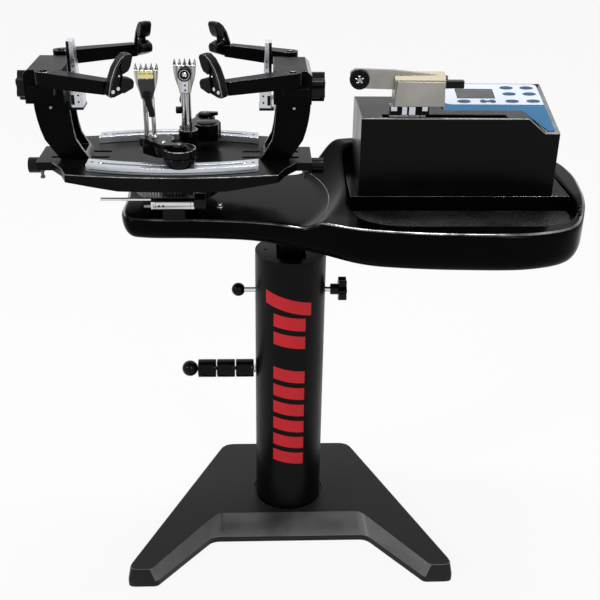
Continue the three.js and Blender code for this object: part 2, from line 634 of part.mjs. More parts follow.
function makePlate(group) {
  const low = turn.top - turn.skirtMid;
  const end = turn.top - turn.skirtEnd;
  const belly = [[-turn.endX - overrun, turn.top], [-turn.endX - overrun, end], [-turn.cornerX, end],
    [-turn.bellyFlat, low],
    [turn.bellyFlat, low], [turn.cornerX, end], [turn.endX + overrun, end],
    [turn.endX + overrun, turn.top]];
  const deep = turn.cornerY + turn.bulge + overrun;
  const hull = common(prism('z', platePlan(0), low, turn.top), prism('y', belly, -deep, deep));
  const hollow = prism('z', platePlan(turn.wall), low - overrun, turn.top - turn.sheet);
  const boss = bar('z', turn.boss, turn.bossBottom, turn.top - turn.sheet + overrun / 2);
  const socket = bar('z', chassis.spindle + gap, turn.bossBottom - overrun, chassis.spindleTop + gap);
  const halfSlot = turn.slotWidth / 2;
  const slots = [-1, 1].flatMap((end2) => [-1, 1].map((side) => block(
    Math.min(end2 * turn.slotStart, end2 * turn.slotEnd),
    Math.max(end2 * turn.slotStart, end2 * turn.slotEnd),
    side * turn.slotY - halfSlot, side * turn.slotY + halfSlot, turn.top - turn.sheet - overrun,
    turn.top + overrun)));
  const screwHoles = [-1,
    1].map((end2) => bar('x', slideKnob.screw + gap, turn.endX - turn.wall * 2, turn.endX + overrun,
      smallSides)
    .translate(0, 0, slideKnob.z).rotateZ(end2 < 0 ? Math.PI : 0));
  const earLow = slideKnob.z - slideKnob.screw * 2;
  const ears = [-1, 1].map((end2) => block(turn.endX - turn.wall, turn.endX, -slideKnob.radius,
    slideKnob.radius, earLow, end)
    .rotateZ(end2 < 0 ? Math.PI : 0));
  const plate = cut(join(cut(hull, hollow), boss, ...ears), socket, ...slots, ...screwHoles);
  add(group, 'turntable_plate', plate, paint.cast);
}

function makeDrum(group) {
  const top = turn.bossBottom - gap;
  const band = lobedDisc(drum.radius, drum.toothDepth / 2, drum.teeth, drum.bottom,
    drum.bottom + drum.web * 3, 4);
  const hollow = bar('z', drum.radius - drum.rim, drum.bottom + drum.web, drum.bottom + drum.web * 4,
    fineSides);
  const hub = bar('z', turn.boss, drum.bottom, top);
  const bore = bar('z', chassis.spindle + gap, drum.bottom - overrun, top + overrun);
  add(group, 'brake_ring', cut(join(cut(band, hollow), hub), bore), paint.mould);
}

// Points along a rail's arc at a distance from its outer edge
function railArc(depth, half, steps) {
  const centreY = rail.radius - rail.midY;
  const radius = rail.radius - depth;
  const points = [];
  for (let i = 0; i <= steps; i += 1) {
    const x = -half + (2 * half * i) / steps;
    points.push([x, centreY - Math.sqrt(radius ** 2 - x ** 2)]);
  }
  return points;
}

function makeRails(group) {
  const outline = railArc(0, rail.halfLength,
    14).concat(railArc(rail.width, rail.halfLength, 14).reverse());
  const mid = rail.width / 2;
  const half = rail.groove / 2;
  const slot = railArc(mid - half, rail.grooveHalf,
    14).concat(railArc(mid + half, rail.grooveHalf, 14).reverse());
  const bottom = turn.top + gap;
  const top = bottom + rail.thick;
  const strip = cut(prism('z', outline, bottom, top),
    prism('z', slot, top - rail.grooveDepth, top + overrun));
  add(group, 'front_glide_rail', strip, paint.silver);
  add(group, 'rear_glide_rail', strip.clone().rotateZ(Math.PI), paint.silver);
}

// Everything here is drawn for the right-hand end; the left end is turned half round
function makeSlideKnob(group, name) {
  const start = turn.endX + gap;
  const knob = alongX(lobedDisc(slideKnob.radius, slideKnob.ribDepth / 2, slideKnob.ribs, 0,
    slideKnob.length, 4));
  knob.translate(start, 0, 0);
  const screw = bar('x', slideKnob.screw, slideKnob.screwStart, start + overrun, smallSides);
  add(group, name, join(knob, screw), paint.mould).position.z = slideKnob.z;
}

// Inner and outer edges of a leaning tower at a height share
function towerEdge(share) {
  const lean = share < tower.midShare
    ? THREE.MathUtils.lerp(0, tower.midLean, share / tower.midShare)
    : THREE.MathUtils.lerp(tower.midLean, tower.lean, (share - tower.midShare) / (1 - tower.midShare));
  const width = THREE.MathUtils.lerp(tower.footWidth, tower.neckWidth, share);
  return [tower.x + lean * (1 - tower.leanLag * share), tower.x + lean + width];
}

function towerProfile(web, spread) {
  const steps = 6;
  const low = turn.top + gap;
  const inner = [];
  const outer = [];
  for (let i = 0; i <= steps; i += 1) {
    const share = i / steps;
    const [a, b] = towerEdge(Math.sin((share * Math.PI) / 2));
    const z = THREE.MathUtils.lerp(low, tower.headBottom + spread, share);
    inner.push([a - spread, z]);
    outer.push([b - web, z]);
  }
  return outer.concat(inner.reverse());
}

function makeTower(group, side) {
  const solid = prism('y', towerProfile(0, 0), -tower.halfY, tower.halfY);
  const inY = tower.halfY - tower.cheek;
  const footTop = turn.top + gap + tower.footHeight;
  const pocket = cut(
    prism('y', towerProfile(tower.web, overrun), -inY, inY),
    block(0, head.outer * 2, -tower.halfY, tower.halfY, 0, footTop));
  const shape = cut(solid, pocket);
  const lugX0 = tower.x + tower.footWidth / 2 - tower.lugHalf;
  const lugX1 = lugX0 + tower.lugHalf * 2;
  const under = turn.top - turn.sheet - gap;
  const halfTab = tower.tab / 2;
  const tabs = [-1, 1].map((end) => block(lugX0, lugX1, end * turn.slotY - halfTab,
    end * turn.slotY + halfTab,
    under - overrun, turn.top + gap + overrun));
  const nut = block(lugX0, lugX1, -turn.slotY - tower.lugGap, turn.slotY + tower.lugGap, tower.lugBottom,
    under);
  const screwHole = bar('x', slideKnob.screw + gap, lugX0 - overrun, lugX1 + overrun,
    smallSides).translate(0, 0, slideKnob.z);
  add(group, `${side}_tower`, cut(join(shape, ...tabs, nut), screwHole), paint.cast);
}

// The left head and its support sit a little further out, as photographed
const headShift = (side) => (side === 'left' ? head.leftShift : 0);

function makeTowerHead(group, side) {
  const low = tower.headBottom + gap;
  const [inner, outer] = [head.inner + headShift(side), head.outer + headShift(side)];
  const core = [[inner, low], [outer, low], [outer, head.top - head.chamfer],
    [outer - head.chamfer, head.top],
    [inner, head.top]];
  const box = prism('y', core, -head.halfY, head.halfY);
  const earTop = arm.bottom - gap;
  const ears = block(head.earInner, head.outer - head.chamfer, -head.earReach, head.earReach,
    earTop - head.earThick, earTop);
  const pins = [-1, 1].map((end) => bar('z', head.pin, earTop - overrun, arm.bottom + arm.height + overrun,
    smallSides)
    .translate(arm.x, end * arm.y, 0));
  const screwHole = bar('x', armKnob.shaft + gap, armKnob.shaftIn - gap, outer + overrun, smallSides)
    .translate(0, 0, armKnob.z);
  add(group, `${side}_tower_head`, cut(join(box, ears, ...pins), screwHole), paint.cast);
}

function makeArmKnob(group, side) {
  const shift = headShift(side);
  const knob = alongX(lobedDisc(armKnob.radius, armKnob.lobe / 2, armKnob.lobes, 0,
    armKnob.length - shift / 2, 8));
  knob.translate(armKnob.start + shift, 0, 0);
  const shaft = bar('x', armKnob.shaft, armKnob.shaftIn, armKnob.start + shift + overrun, smallSides);
  add(group, `${side}_arm_knob`, join(knob, shaft), paint.mould).position.z = armKnob.z;
}

// Moves a shape from a jaw's own frame to its place; end is -1 towards -Y of its group and 1 towards +Y
function toJawPlace(shape, place, end) {
  shape.rotateZ(Math.PI + end * THREE.MathUtils.degToRad(place.turn));
  return shape.translate(place.x, end * place.y, 0);
}

// Tapered arm from its pivot to the side of its jaw
function makeArm(group, name, place, end) {
  const face = jaw.thick / 2 + gap;
  const turnAngle = Math.PI + end * THREE.MathUtils.degToRad(place.turn);
  const target = new THREE.Vector2(-jaw.attach, end * face).rotateAround(new THREE.Vector2(), turnAngle);
  const [tipX, tipY] = [target.x + place.x, target.y + end * place.y];
  const [dx, dy] = [tipX - arm.x, tipY - end * arm.y];
  const length = Math.hypot(dx, dy) + jaw.thick;
  const low = arm.bottom;
  const root = arm.width / 2;
  const tip = arm.tipWidth / 2;
  const drop = (arm.height - arm.tipHeight) / 2;
  const plan = [[0, -root], [length, -tip], [length, tip], [0, root]];
  const side = [[-arm.eye, low], [length, low + drop], [length, low + arm.height - drop],
    [-arm.eye, low + arm.height]];
  const wedge = common(prism('z', plan, low, low + arm.height), prism('y', side, -arm.width, arm.width));
  const eye = bar('z', arm.eye, low, low + arm.height, roundSides);
  const hole = bar('z', head.pin + gap, low - overrun, low + arm.height + overrun, smallSides);
  const shape = cut(join(wedge, eye), hole);
  shape.rotateZ(Math.atan2(dy, dx)).translate(arm.x, end * arm.y, 0);
  const beyond = block(-arm.x, arm.x, -end * arm.x, end * face, 0, jaw.centreZ * 2);
  add(group, name, cut(shape, toJawPlace(beyond, place, end)), paint.mould);
}

// C-shaped jaw that opens towards the racket's middle
function makeJaw(group, name, place, end) {
  const outline = jawShares.map(([u, v]) => [u * jaw.depth, jaw.centreZ + v * jaw.height]);
  const shape = prism('y', outline, -jaw.thick / 2, jaw.thick / 2);
  add(group, name, toJawPlace(shape, place, end), paint.mould);
}

function makeSupport(group, side) {
  const blade = [[support.inner, support.blockTop - overrun],
    [support.blockOuter, support.blockTop - overrun],
    [support.bladeOuter, support.bladeFoot], [support.bladeOuter, support.bladeTop],
    [support.bladeInner, support.bladeTop],
    [support.inner + support.base, support.bladeFoot], [support.inner, support.blockTop]];
  const core = block(support.inner, support.blockOuter - support.base, -support.halfY, support.halfY,
    support.bottom, support.blockTop);
  const stem = block(support.inner + support.base, support.stemOuter, -support.stemHalfY, support.stemHalfY,
    support.bottom,
    support.stemTop);
  const upright = prism('y', blade, -support.bladeHalfY, support.bladeHalfY);
  const trimmed = cut(upright, block(head.inner - gap, head.outer, -head.halfY, head.halfY, 0, head.top));
  const whole = join(core, stem, trimmed).translate(headShift(side), 0, 0);
  add(group, `${side}_head_support`, whole, paint.silver);
}

function makeTowerSide(table, side) {
  const group = new THREE.Group();
  group.rotation.z = side === 'left' ? Math.PI : 0;
  table.add(group);
  const near = side === 'left' ? 1 : -1;
  makeSlideKnob(group, `${side}_slide_knob`);
  makeTower(group, side);
  makeTowerHead(group, side);
  makeArmKnob(group, side);
  [['front', near], ['rear', -near]].forEach(([where, end]) => {
    const place = jawPlaces[`${side}_${where}`];
    makeArm(group, `${side}_${where}_arm`, place, end);
    makeJaw(group, `${side}_${where}_jaw`, place, end);
  });
  makeSupport(group, side);
}

// Y of a rail's centre line at x, for the front rail
function railMidY(x) {
  const radius = rail.radius - rail.width / 2;
  return rail.radius - rail.midY - Math.sqrt(radius ** 2 - x ** 2);
}

// Underside of the lock lever, above the swivel arm that turns on the base's stud
const lockLow = (high) => high + gap * 2 + swivel.thick;

function makeClampBase(group, prefix, x, y) {
  const low = turn.top + gap + rail.thick + gap;
  const high = low + clampBase.height;
  const cup = turned([[0, low], [clampBase.skirt, low], [clampBase.skirt, low + clampBase.skirtHeight / 3],
    [clampBase.radius, low + clampBase.skirtHeight], [clampBase.radius * clampBase.capShare, high],
    [0, high]]);
  const pin = bar('z', clampBase.guide, low - clampBase.guideDepth, low + overrun, smallSides);
  const studTop = lockLow(high) + clampBase.leverThick / 2;
  const stud = bar('z', clampBase.stud, high - overrun, studTop, smallSides);
  add(group, `${prefix}_clamp_base`, join(cup, pin, stud), paint.mould).position.set(x, y, 0);
  return high;
}

// Cam lever that locks the base on its rail, lying on top of the swivel arm
function makeLockLever(group, prefix, x, y, high, angle) {
  const low = lockLow(high);
  const hub = bar('z', clampBase.radius * clampBase.hubShare, low, low + clampBase.leverThick);
  const half = clampBase.leverWidth / 2;
  const tail = block(0, clampBase.leverLength, -half, half, low + overrun / 2, low + clampBase.leverThick);
  const socket = bar('z', clampBase.stud + gap, low - overrun, low + clampBase.leverThick / 2 + gap,
    smallSides);
  const mesh = add(group, `${prefix}_lock_lever`, cut(join(hub, tail.rotateZ(angle)), socket), paint.mould);
  mesh.position.set(x, y, 0);
}

function makeSwivelArm(group, prefix, from, to, high) {
  const length = Math.hypot(to[0] - from[0], to[1] - from[1]);
  const angle = Math.atan2(to[1] - from[1], to[0] - from[0]);
  const low = high + gap;
  const top = low + swivel.thick;
  const half = swivel.width / 2;
  const strap = block(0, length, -half, half, low, top);
  const hub = bar('z', swivel.hub, low, top);
  const seat = bar('z', swivel.postHub, low - swivel.thick, top).translate(length, 0, 0);
  const hole = bar('z', clampBase.stud + gap * 2, low - overrun, top + overrun, smallSides);
  const postHole = bar('z', clampPost.rod / 2 + gap, low - swivel.thick / 2, top + overrun,
    smallSides).translate(length, 0, 0);
  const shape = cut(join(strap, hub, seat), hole, postHole);
  shape.rotateZ(angle).translate(from[0], from[1], 0);
  add(group, `${prefix}_swivel_arm`, shape, paint.mould);
  return top;
}

// Half of a clamp head: a tapered plate with teeth, on one side of the string plane
function clampPlate(side, { bottom, top, shift }) {
  const { topHalf, bottomHalf } = clampPost;
  const shoulder = THREE.MathUtils.lerp(bottom, top, clampPost.shoulderShare);
  const neckHalf = topHalf * clampPost.neckShare;
  const outline = [[-bottomHalf, bottom], [bottomHalf, bottom], [neckHalf, shoulder], [topHalf, top],
    [-topHalf, top], [-neckHalf, shoulder]];
  const near = side * clampPost.split;
  const far = side * (clampPost.split + clampPost.depth);
  const plate = prism('y', outline, Math.min(near, far), Math.max(near, far));
  const pitch = (2 * topHalf - clampPost.toothWidth) / (clampPost.teeth - 1);
  const teeth = [];
  for (let i = 0; i < clampPost.teeth; i += 1) {
    const x = -topHalf + clampPost.toothWidth / 2 + i * pitch;
    const tip = side * (clampPost.split + clampPost.toothDepth);
    teeth.push(block(x - clampPost.toothWidth / 2, x + clampPost.toothWidth / 2, Math.min(near, tip),
      Math.max(near, tip),
      top - overrun, top + clampPost.tooth));
  }
  return join(plate, ...teeth).translate(shift, 0, 0);
}

function makeClampHead(group, prefix, place, armTop, facing) {
  const head0 = new THREE.Group();
  head0.position.set(place[0], place[1], 0);
  head0.rotation.z = facing;
  group.add(head0);
  const size = clampHeads[prefix];
  const fixed = clampPlate(1, size);
  const rodTop = size.bottom - clampPost.below;
  const rod = bar('z', clampPost.rod, armTop + gap, rodTop);
  const collar = bar('z', clampPost.collar, rodTop - overrun, size.bottom + overrun);
  const collarCut = block(-clampPost.collar, clampPost.collar, -clampPost.collar, clampPost.split,
    size.bottom - gap, size.top);
  const pivot = bar('z', clampPost.rod / 2, armTop - swivel.thick / 2, armTop + overrun, smallSides);
  const knobHole = bar('y', clampKnob.stem + gap, clampPost.split + clampPost.depth / 2,
    clampPost.depth * 2, smallSides)
    .translate(size.shift, 0, clampKnob.z);
  const postShape = cut(join(cut(collar, collarCut), rod, pivot, fixed), knobHole);
  add(head0, `${prefix}_clamp_post`, postShape, paint.steel);
  add(head0, `${prefix}_clamp_jaw`, clampPlate(-1, size), paint.steel);
  const face = -clampPost.split - clampPost.depth - clampLever.standOff;
  const half = clampLever.width / 2;
  const lever = join(
    block(-half, half, face - clampLever.thick, face, clampLever.pivotZ - clampLever.length,
      clampLever.pivotZ),
    bar('x', clampLever.eye, -half - overrun, half + overrun).translate(0, face - clampLever.eye,
      clampLever.pivotZ));
  add(head0, `${prefix}_clamp_lever`, lever.translate(size.shift, 0, 0), paint.mould);
  const back = clampPost.split + clampPost.depth + gap;
  const knob = join(
    bar('y', clampKnob.radius, back, back + clampKnob.length),
    bar('y', clampKnob.stem, clampPost.split + clampPost.depth / 2 + gap, back + overrun, smallSides));
  add(head0, `${prefix}_clamp_knob`, knob.translate(size.shift, 0, clampKnob.z), paint.mould);
}

function makeClamps(table) {
  const frontBase = [clampBase.frontX, railMidY(clampBase.frontX)];
  const rearBase = [clampBase.rearX, -railMidY(clampBase.rearX)];
  const frontPost = [swivel.frontX, swivel.frontY];
  const rearPost = [swivel.rearX, swivel.rearY];
  const frontHigh = makeClampBase(table, 'front', ...frontBase);
  const rearHigh = makeClampBase(table, 'rear', ...rearBase);
  makeLockLever(table, 'front', ...frontBase, frontHigh, Math.PI);
  makeLockLever(table, 'rear', ...rearBase, rearHigh, 0);
  const frontTop = makeSwivelArm(table, 'front', frontBase, frontPost, frontHigh);
  const rearTop = makeSwivelArm(table, 'rear', rearBase, rearPost, rearHigh);
  makeClampHead(table, 'front', frontPost, frontTop, 0);
  makeClampHead(table, 'rear', rearPost, rearTop, Math.PI);
}

function makeTurntable(headGroup) {
  const table = new THREE.Group();
  table.position.x = turn.x;
  headGroup.add(table);
  makePlate(table);
  makeDrum(table);
  makeRails(table);
  makeTowerSide(table, 'left');
  makeTowerSide(table, 'right');
  makeClamps(table);
}

// Height of the tilted panel's face at a depth
const panelSlope = (tension.panelRearTop - tension.slopeStartTop) / (tension.panelRear
  - tension.slopeStart);
const panelZ = (y) => tension.slopeStartTop + (y - tension.slopeStart) * panelSlope;

// Solid outside of the tensioner case, or its hollow when set in by the wall
function caseSolid(inset) {
  const low = tray.platform + gap - (inset ? overrun : 0);
  const [x0, x1] = [tension.left + inset, tension.right - inset];
  const [y0, y1] = [tension.front + inset, tension.rear - inset];
  const high = tension.top - inset;
  const edge = panelZ(tension.front) - inset;
  const strip = [[x0, low], [x1, low], [x1, edge], [tension.chamferRight - inset, edge],
    [tension.stripRight - inset, high], [x0, high]];
  const front = prism('y', strip, y0, tension.slopeStart + inset);
  const left = block(x0, tension.panelLeft + inset, y0, y1, low, high);
  const wedge = [[y0, low], [tension.panelRear - inset, low],
    [tension.panelRear - inset, panelZ(tension.panelRear) - inset],
    [y0, edge]];
  const right = prism('x', wedge, tension.panelLeft + inset, x1);
  return join(front, left, right);
}

function makeCase(group) {
  const slot = block(tension.slotLeft, tension.slotRight, tension.slotFront, tension.slotRear,
    tension.top - tension.wall * 2,
    tension.top + overrun);
  const socket = block(inlet.x - inlet.halfX - gap, inlet.x + inlet.halfX + gap,
    tension.panelRear - tension.wall * 2,
    tension.panelRear + overrun, inlet.z - inlet.halfZ - gap, inlet.z + inlet.halfZ + gap);
  const shell = cut(caseSolid(0), caseSolid(tension.wall), slot, socket);
  add(group, 'tensioner_case', shell, paint.tube);
}

// Key places on the panel as shares of its width and depth
const keyPlaceShares = [
  [0.69, 0.84], [0.885, 0.84], [0.68, 0.63], [0.88, 0.63], [0.205, 0.35], [0.435, 0.35], [0.68, 0.36],
  [0.88, 0.36],
];
const windowShares = { left: 0.165, right: 0.54, front: 0.49, rear: 0.81 };

function makePanel(group) {
  const tilt = Math.atan(panelSlope);
  const start = tension.slopeStart + panel.margin;
  const depth = (tension.panelRear - start) / Math.cos(tilt) - panel.margin;
  const width = tension.right - tension.panelLeft - panel.margin - panel.marginRight;
  const tail = (tension.slopeStart - tension.front) / Math.cos(tilt);
  const fall = (tension.top - tension.slopeStartTop) / (tension.top - panelZ(tension.front));
  const foldX = THREE.MathUtils.lerp(tension.stripRight, tension.chamferRight, fall) - tension.panelLeft;
  const outline = [[0, 0], [foldX, 0], [tension.chamferRight - tension.panelLeft, -tail], [width, -tail],
    [width, depth],
    [0, depth]];
  const sheet = prism('z', outline, gap, gap + panel.thick);
  const keys = keyPlaceShares.map(([sx, sy]) => {
    const key = bar('z', 1, gap + panel.thick - panel.keyRise, gap + panel.thick + panel.keyRise,
      panel.keySides);
    return key.scale(panel.keyHalfX, panel.keyHalfY, 1).translate(sx * width, sy * depth, 0);
  });
  const glass = block(windowShares.left * width, windowShares.right * width, windowShares.front * depth,
    windowShares.rear * depth, gap + panel.thick - panel.windowDepth, gap + panel.thick + overrun);
  const mesh = add(group, 'control_panel', cut(join(sheet, ...keys), glass), paint.overlay);
  mesh.position.set(tension.panelLeft + panel.margin, start, panelZ(start));
  mesh.rotation.x = tilt;
}

// Motor, gearbox plate and the screw that pulls the gripper carriage
function makeDrive(group) {
  const floor = tray.platform + gap;
  const motor = bar('x', drive.motorRadius, drive.motorX, drive.motorX + drive.motorLength).translate(0,
    drive.y, drive.z);
  const pad = block(drive.motorX, drive.motorX + drive.motorLength, drive.y - drive.beamHalf,
    drive.y + drive.beamHalf, floor, drive.z);
  const endPlate = block(drive.motorX - drive.plateThick, drive.motorX + overrun,
    drive.screwY - drive.beamHalf,
    drive.y + drive.motorRadius, floor, drive.z + drive.motorRadius);
  const tallPlate = block(drive.screwRight - drive.plateThick, drive.screwRight,
    drive.screwY - drive.beamHalf,
    drive.y + drive.beamHalf, floor, drive.screwZ + drive.beamHalf);
  const nearPlate = block(drive.screwLeft, drive.screwLeft + drive.plateThick,
    drive.screwY - drive.beamHalf,
    drive.screwY + drive.beamHalf, floor, drive.screwZ + drive.beamHalf);
  const rail0 = block(drive.screwLeft, drive.screwRight, drive.screwY - drive.beamHalf,
    drive.screwY + drive.beamHalf,
    floor, floor + drive.beamHalf);
  const screw = bar('x', drive.screw, drive.screwLeft + overrun / 2, drive.screwRight - overrun / 2,
    smallSides)
    .translate(0, drive.screwY, drive.screwZ);
  add(group, 'tension_drive', join(motor, pad, endPlate, tallPlate, nearPlate, rail0, screw), paint.steel);
}

function makeGripper(group) {
  const insideFront = tension.slotFront + runningGap;
  const insideRear = tension.slotRear - runningGap;
  const nut = block(grip.left, grip.right, insideFront, insideRear, grip.blockBottom, grip.blockTop);
  const screwHole = bar('x', drive.screw + gap, grip.left - overrun, grip.right + overrun, smallSides)
    .translate(0, drive.screwY, drive.screwZ);
  const neck = join(
    block(grip.left, grip.right, insideFront, insideRear, grip.blockTop - overrun,
      grip.headBottom - gap * 2),
    block(grip.left, grip.right, grip.jawBack, insideRear, grip.blockTop, grip.headBottom + overrun));
  const neckWidth = grip.right - grip.left;
  const slits = [0.2, 0.5,
    0.8].map((share) => block(grip.left + neckWidth * (share - 0.06),
      grip.left + neckWidth * (share + 0.06),
    insideFront - overrun, insideRear + overrun, tension.top + runningGap, grip.headBottom));
  const crown = [[grip.jawBack, grip.headBottom], [grip.headRear, grip.headBottom],
    [grip.headRear, grip.crownTop - overrun],
    [grip.armRear, grip.crownTop], [grip.jawBack, grip.headTop]];
  const headBlock = prism('x', crown, grip.headLeft, grip.headRight);
  const armOutline = [[grip.armLeft + grip.roller / 2, grip.armBottom],
    [grip.headLeft + overrun, grip.armBottom - overrun],
    [grip.headRight, grip.armBottom], [grip.headRight, grip.crownTop - overrun * 2],
    [grip.headLeft, grip.armTop - overrun],
    [grip.armLeft + grip.roller / 2, grip.armTop], [grip.armLeft, grip.armTop - grip.roller / 3],
    [grip.armLeft, grip.armBottom + grip.roller / 2]];
  const longArm = prism('y', armOutline, grip.armFront, grip.armRear);
  const rollerPin = bar('y', grip.pin, grip.armFront - grip.rollerThick - gap * 2, grip.armFront + overrun,
    smallSides)
    .translate(grip.rollerX, 0, grip.rollerZ);
  const handleZ = (grip.handleBottom + grip.handleTop) / 2;
  const handlePost = bar('x', grip.post, grip.headRight - overrun, grip.handleLeft + grip.post * 2,
    smallSides)
    .translate(0, (grip.armFront + grip.headRear) / 2, handleZ);
  const carriage = join(nut, cut(neck, ...slits), headBlock, longArm, rollerPin, handlePost);
  add(group, 'gripper_carriage', cut(carriage, screwHole), paint.stainless);
  makeGripperTrim(group, handleZ);
}

function makeGripperTrim(group, handleZ) {
  const face = grip.jawBack - gap;
  const plate = block(grip.headLeft, grip.headRight, face - grip.plateThick, face, grip.headBottom,
    grip.headTop);
  add(group, 'gripper_plate', plate, paint.stainless);
  const rollerBack = grip.armFront - gap;
  const rollerFront = rollerBack - grip.rollerThick;
  const roller = cut(
    bar('y', grip.roller, rollerFront, rollerBack),
    bar('y', grip.pin + gap, rollerFront - overrun, rollerBack + overrun, smallSides));
  add(group, 'guide_roller', roller, paint.mould).position.set(grip.rollerX, 0, grip.rollerZ);
  const midY = (grip.armFront + grip.headRear) / 2;
  const half = grip.handleDepth / 2;
  const handle = cut(
    block(grip.handleLeft, grip.handleRight, midY - half, midY + half, grip.handleBottom, grip.handleTop),
    bar('x', grip.post + gap, grip.handleLeft - overrun, grip.handleLeft + grip.post * 2 + gap, smallSides)
      .translate(0, midY, handleZ));
  add(group, 'gripper_handle', handle, paint.mould);
}

function makeInlet(group) {
  const outside = tension.panelRear;
  const tub = block(-inlet.halfX, inlet.halfX, outside - inlet.depth, outside + inlet.flange, -inlet.halfZ,
    inlet.halfZ);
  const grow = inlet.flangeGrow;
  const flange = block(-inlet.halfX - grow, inlet.halfX + grow, outside + gap, outside + inlet.flange,
    -inlet.halfZ, inlet.halfZ);
  const wall = inlet.pin;
  const mouth = block(wall - inlet.halfX, inlet.halfX - wall, outside - inlet.depth + wall,
    outside + inlet.flange + overrun,
    wall - inlet.halfZ, inlet.halfZ - wall);
  const blades = [-1, 0,
    1].map((step) => block(step * inlet.pinPitch - inlet.pin / 2, step * inlet.pinPitch + inlet.pin / 2,
    outside - inlet.depth + wall / 2, outside - overrun, -inlet.pin, inlet.pin));
  const shape = join(cut(join(tub, flange), mouth), ...blades);
  add(group, 'power_inlet', shape, paint.mould).position.set(inlet.x, 0, inlet.z);
}

function makeHead() {
  const group = new THREE.Group();
  machine.add(group);
  makePost(group);
  makeBody(group);
  makeChassis(group);
  makeBrake(group);
  makeTurntable(group);
  makeCase(group);
  makePanel(group);
  makeDrive(group);
  makeGripper(group);
  makeInlet(group);
}

makeFoot();
makeColumn();
makeHeightFittings();
makeReel();
makeHead();

export default machine;
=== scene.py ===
"""Looks of a floor-standing racket stringing machine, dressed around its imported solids.

Lengths are metres and the frame is the solids' own: +Z up, X to the user's right, Y away from the user.
"""

import json
import logging
import math
from dataclasses import dataclass, field
from enum import Enum
from typing import Callable, Iterable, Sequence

import bpy
import numpy as np
from mathutils import Matrix, Vector


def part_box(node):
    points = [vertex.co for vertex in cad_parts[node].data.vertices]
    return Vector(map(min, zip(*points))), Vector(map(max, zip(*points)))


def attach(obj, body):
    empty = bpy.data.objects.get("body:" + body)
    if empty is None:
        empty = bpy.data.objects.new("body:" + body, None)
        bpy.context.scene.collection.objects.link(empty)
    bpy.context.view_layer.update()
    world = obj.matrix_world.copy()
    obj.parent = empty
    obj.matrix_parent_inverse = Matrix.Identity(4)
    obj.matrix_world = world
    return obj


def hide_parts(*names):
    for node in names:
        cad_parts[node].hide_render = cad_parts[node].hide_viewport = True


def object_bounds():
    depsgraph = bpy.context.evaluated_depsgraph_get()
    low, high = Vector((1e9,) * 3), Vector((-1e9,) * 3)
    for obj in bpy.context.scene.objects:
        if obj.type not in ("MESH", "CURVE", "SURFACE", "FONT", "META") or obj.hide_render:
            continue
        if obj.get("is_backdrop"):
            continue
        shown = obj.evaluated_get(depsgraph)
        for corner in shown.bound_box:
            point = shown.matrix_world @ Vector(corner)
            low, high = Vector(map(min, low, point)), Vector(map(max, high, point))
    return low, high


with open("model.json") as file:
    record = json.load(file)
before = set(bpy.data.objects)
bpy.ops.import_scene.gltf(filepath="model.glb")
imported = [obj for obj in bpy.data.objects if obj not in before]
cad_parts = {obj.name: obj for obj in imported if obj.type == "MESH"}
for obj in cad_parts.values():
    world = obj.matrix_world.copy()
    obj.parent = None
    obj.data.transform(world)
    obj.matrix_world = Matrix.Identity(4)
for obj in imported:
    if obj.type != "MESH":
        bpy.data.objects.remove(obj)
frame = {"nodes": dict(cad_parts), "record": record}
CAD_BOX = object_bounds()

LOG = logging.getLogger("stringing_machine")
MM = 0.001
NODE_BODY = {node: body for body, nodes in frame["record"]["behaviour"]["bodies"].items() for node in nodes}

Point = Sequence[float]
Sizes = tuple[float, ...]
Object = bpy.types.Object
Outline = Sequence[Sequence[float]]


def mm(*sizes: float) -> Sizes:
    """Give sizes in metres that are written in millimetres."""
    return tuple(size * MM for size in sizes)


def mm_points(*points: Point) -> tuple[Sizes, ...]:
    """Give points in metres that are written in millimetres."""
    return tuple(mm(*point) for point in points)


# Finishes

GRAIN_DETAIL = 3.0
SPECKLE_RANGE = (0.62, 0.74)
CLOUD_DETAIL = 4.0
CLOUD_RANGE = (0.35, 0.65)


class Grain(Enum):
    """Fine structure of a surface."""

    MOULDED = "moulded"
    PEBBLED = "pebbled"


def shader_group(name: str, inputs: dict[str, str], outputs: dict[str, str]) -> bpy.types.ShaderNodeTree:
    """Make an empty shader node group.

    Args:
        name: Name of the group.
        inputs: Socket type of each input, by its name.
        outputs: Socket type of each output, by its name.

    Returns:
        The group's node tree, with its input and output nodes in place.
    """
    tree = bpy.data.node_groups.new(name, "ShaderNodeTree")
    for label, kind in inputs.items():
        tree.interface.new_socket(name=label, in_out="INPUT", socket_type=kind)
    for label, kind in outputs.items():
        tree.interface.new_socket(name=label, in_out="OUTPUT", socket_type=kind)
    tree.nodes.new("NodeGroupInput").name = "in"
    tree.nodes.new("NodeGroupOutput").name = "out"
    return tree


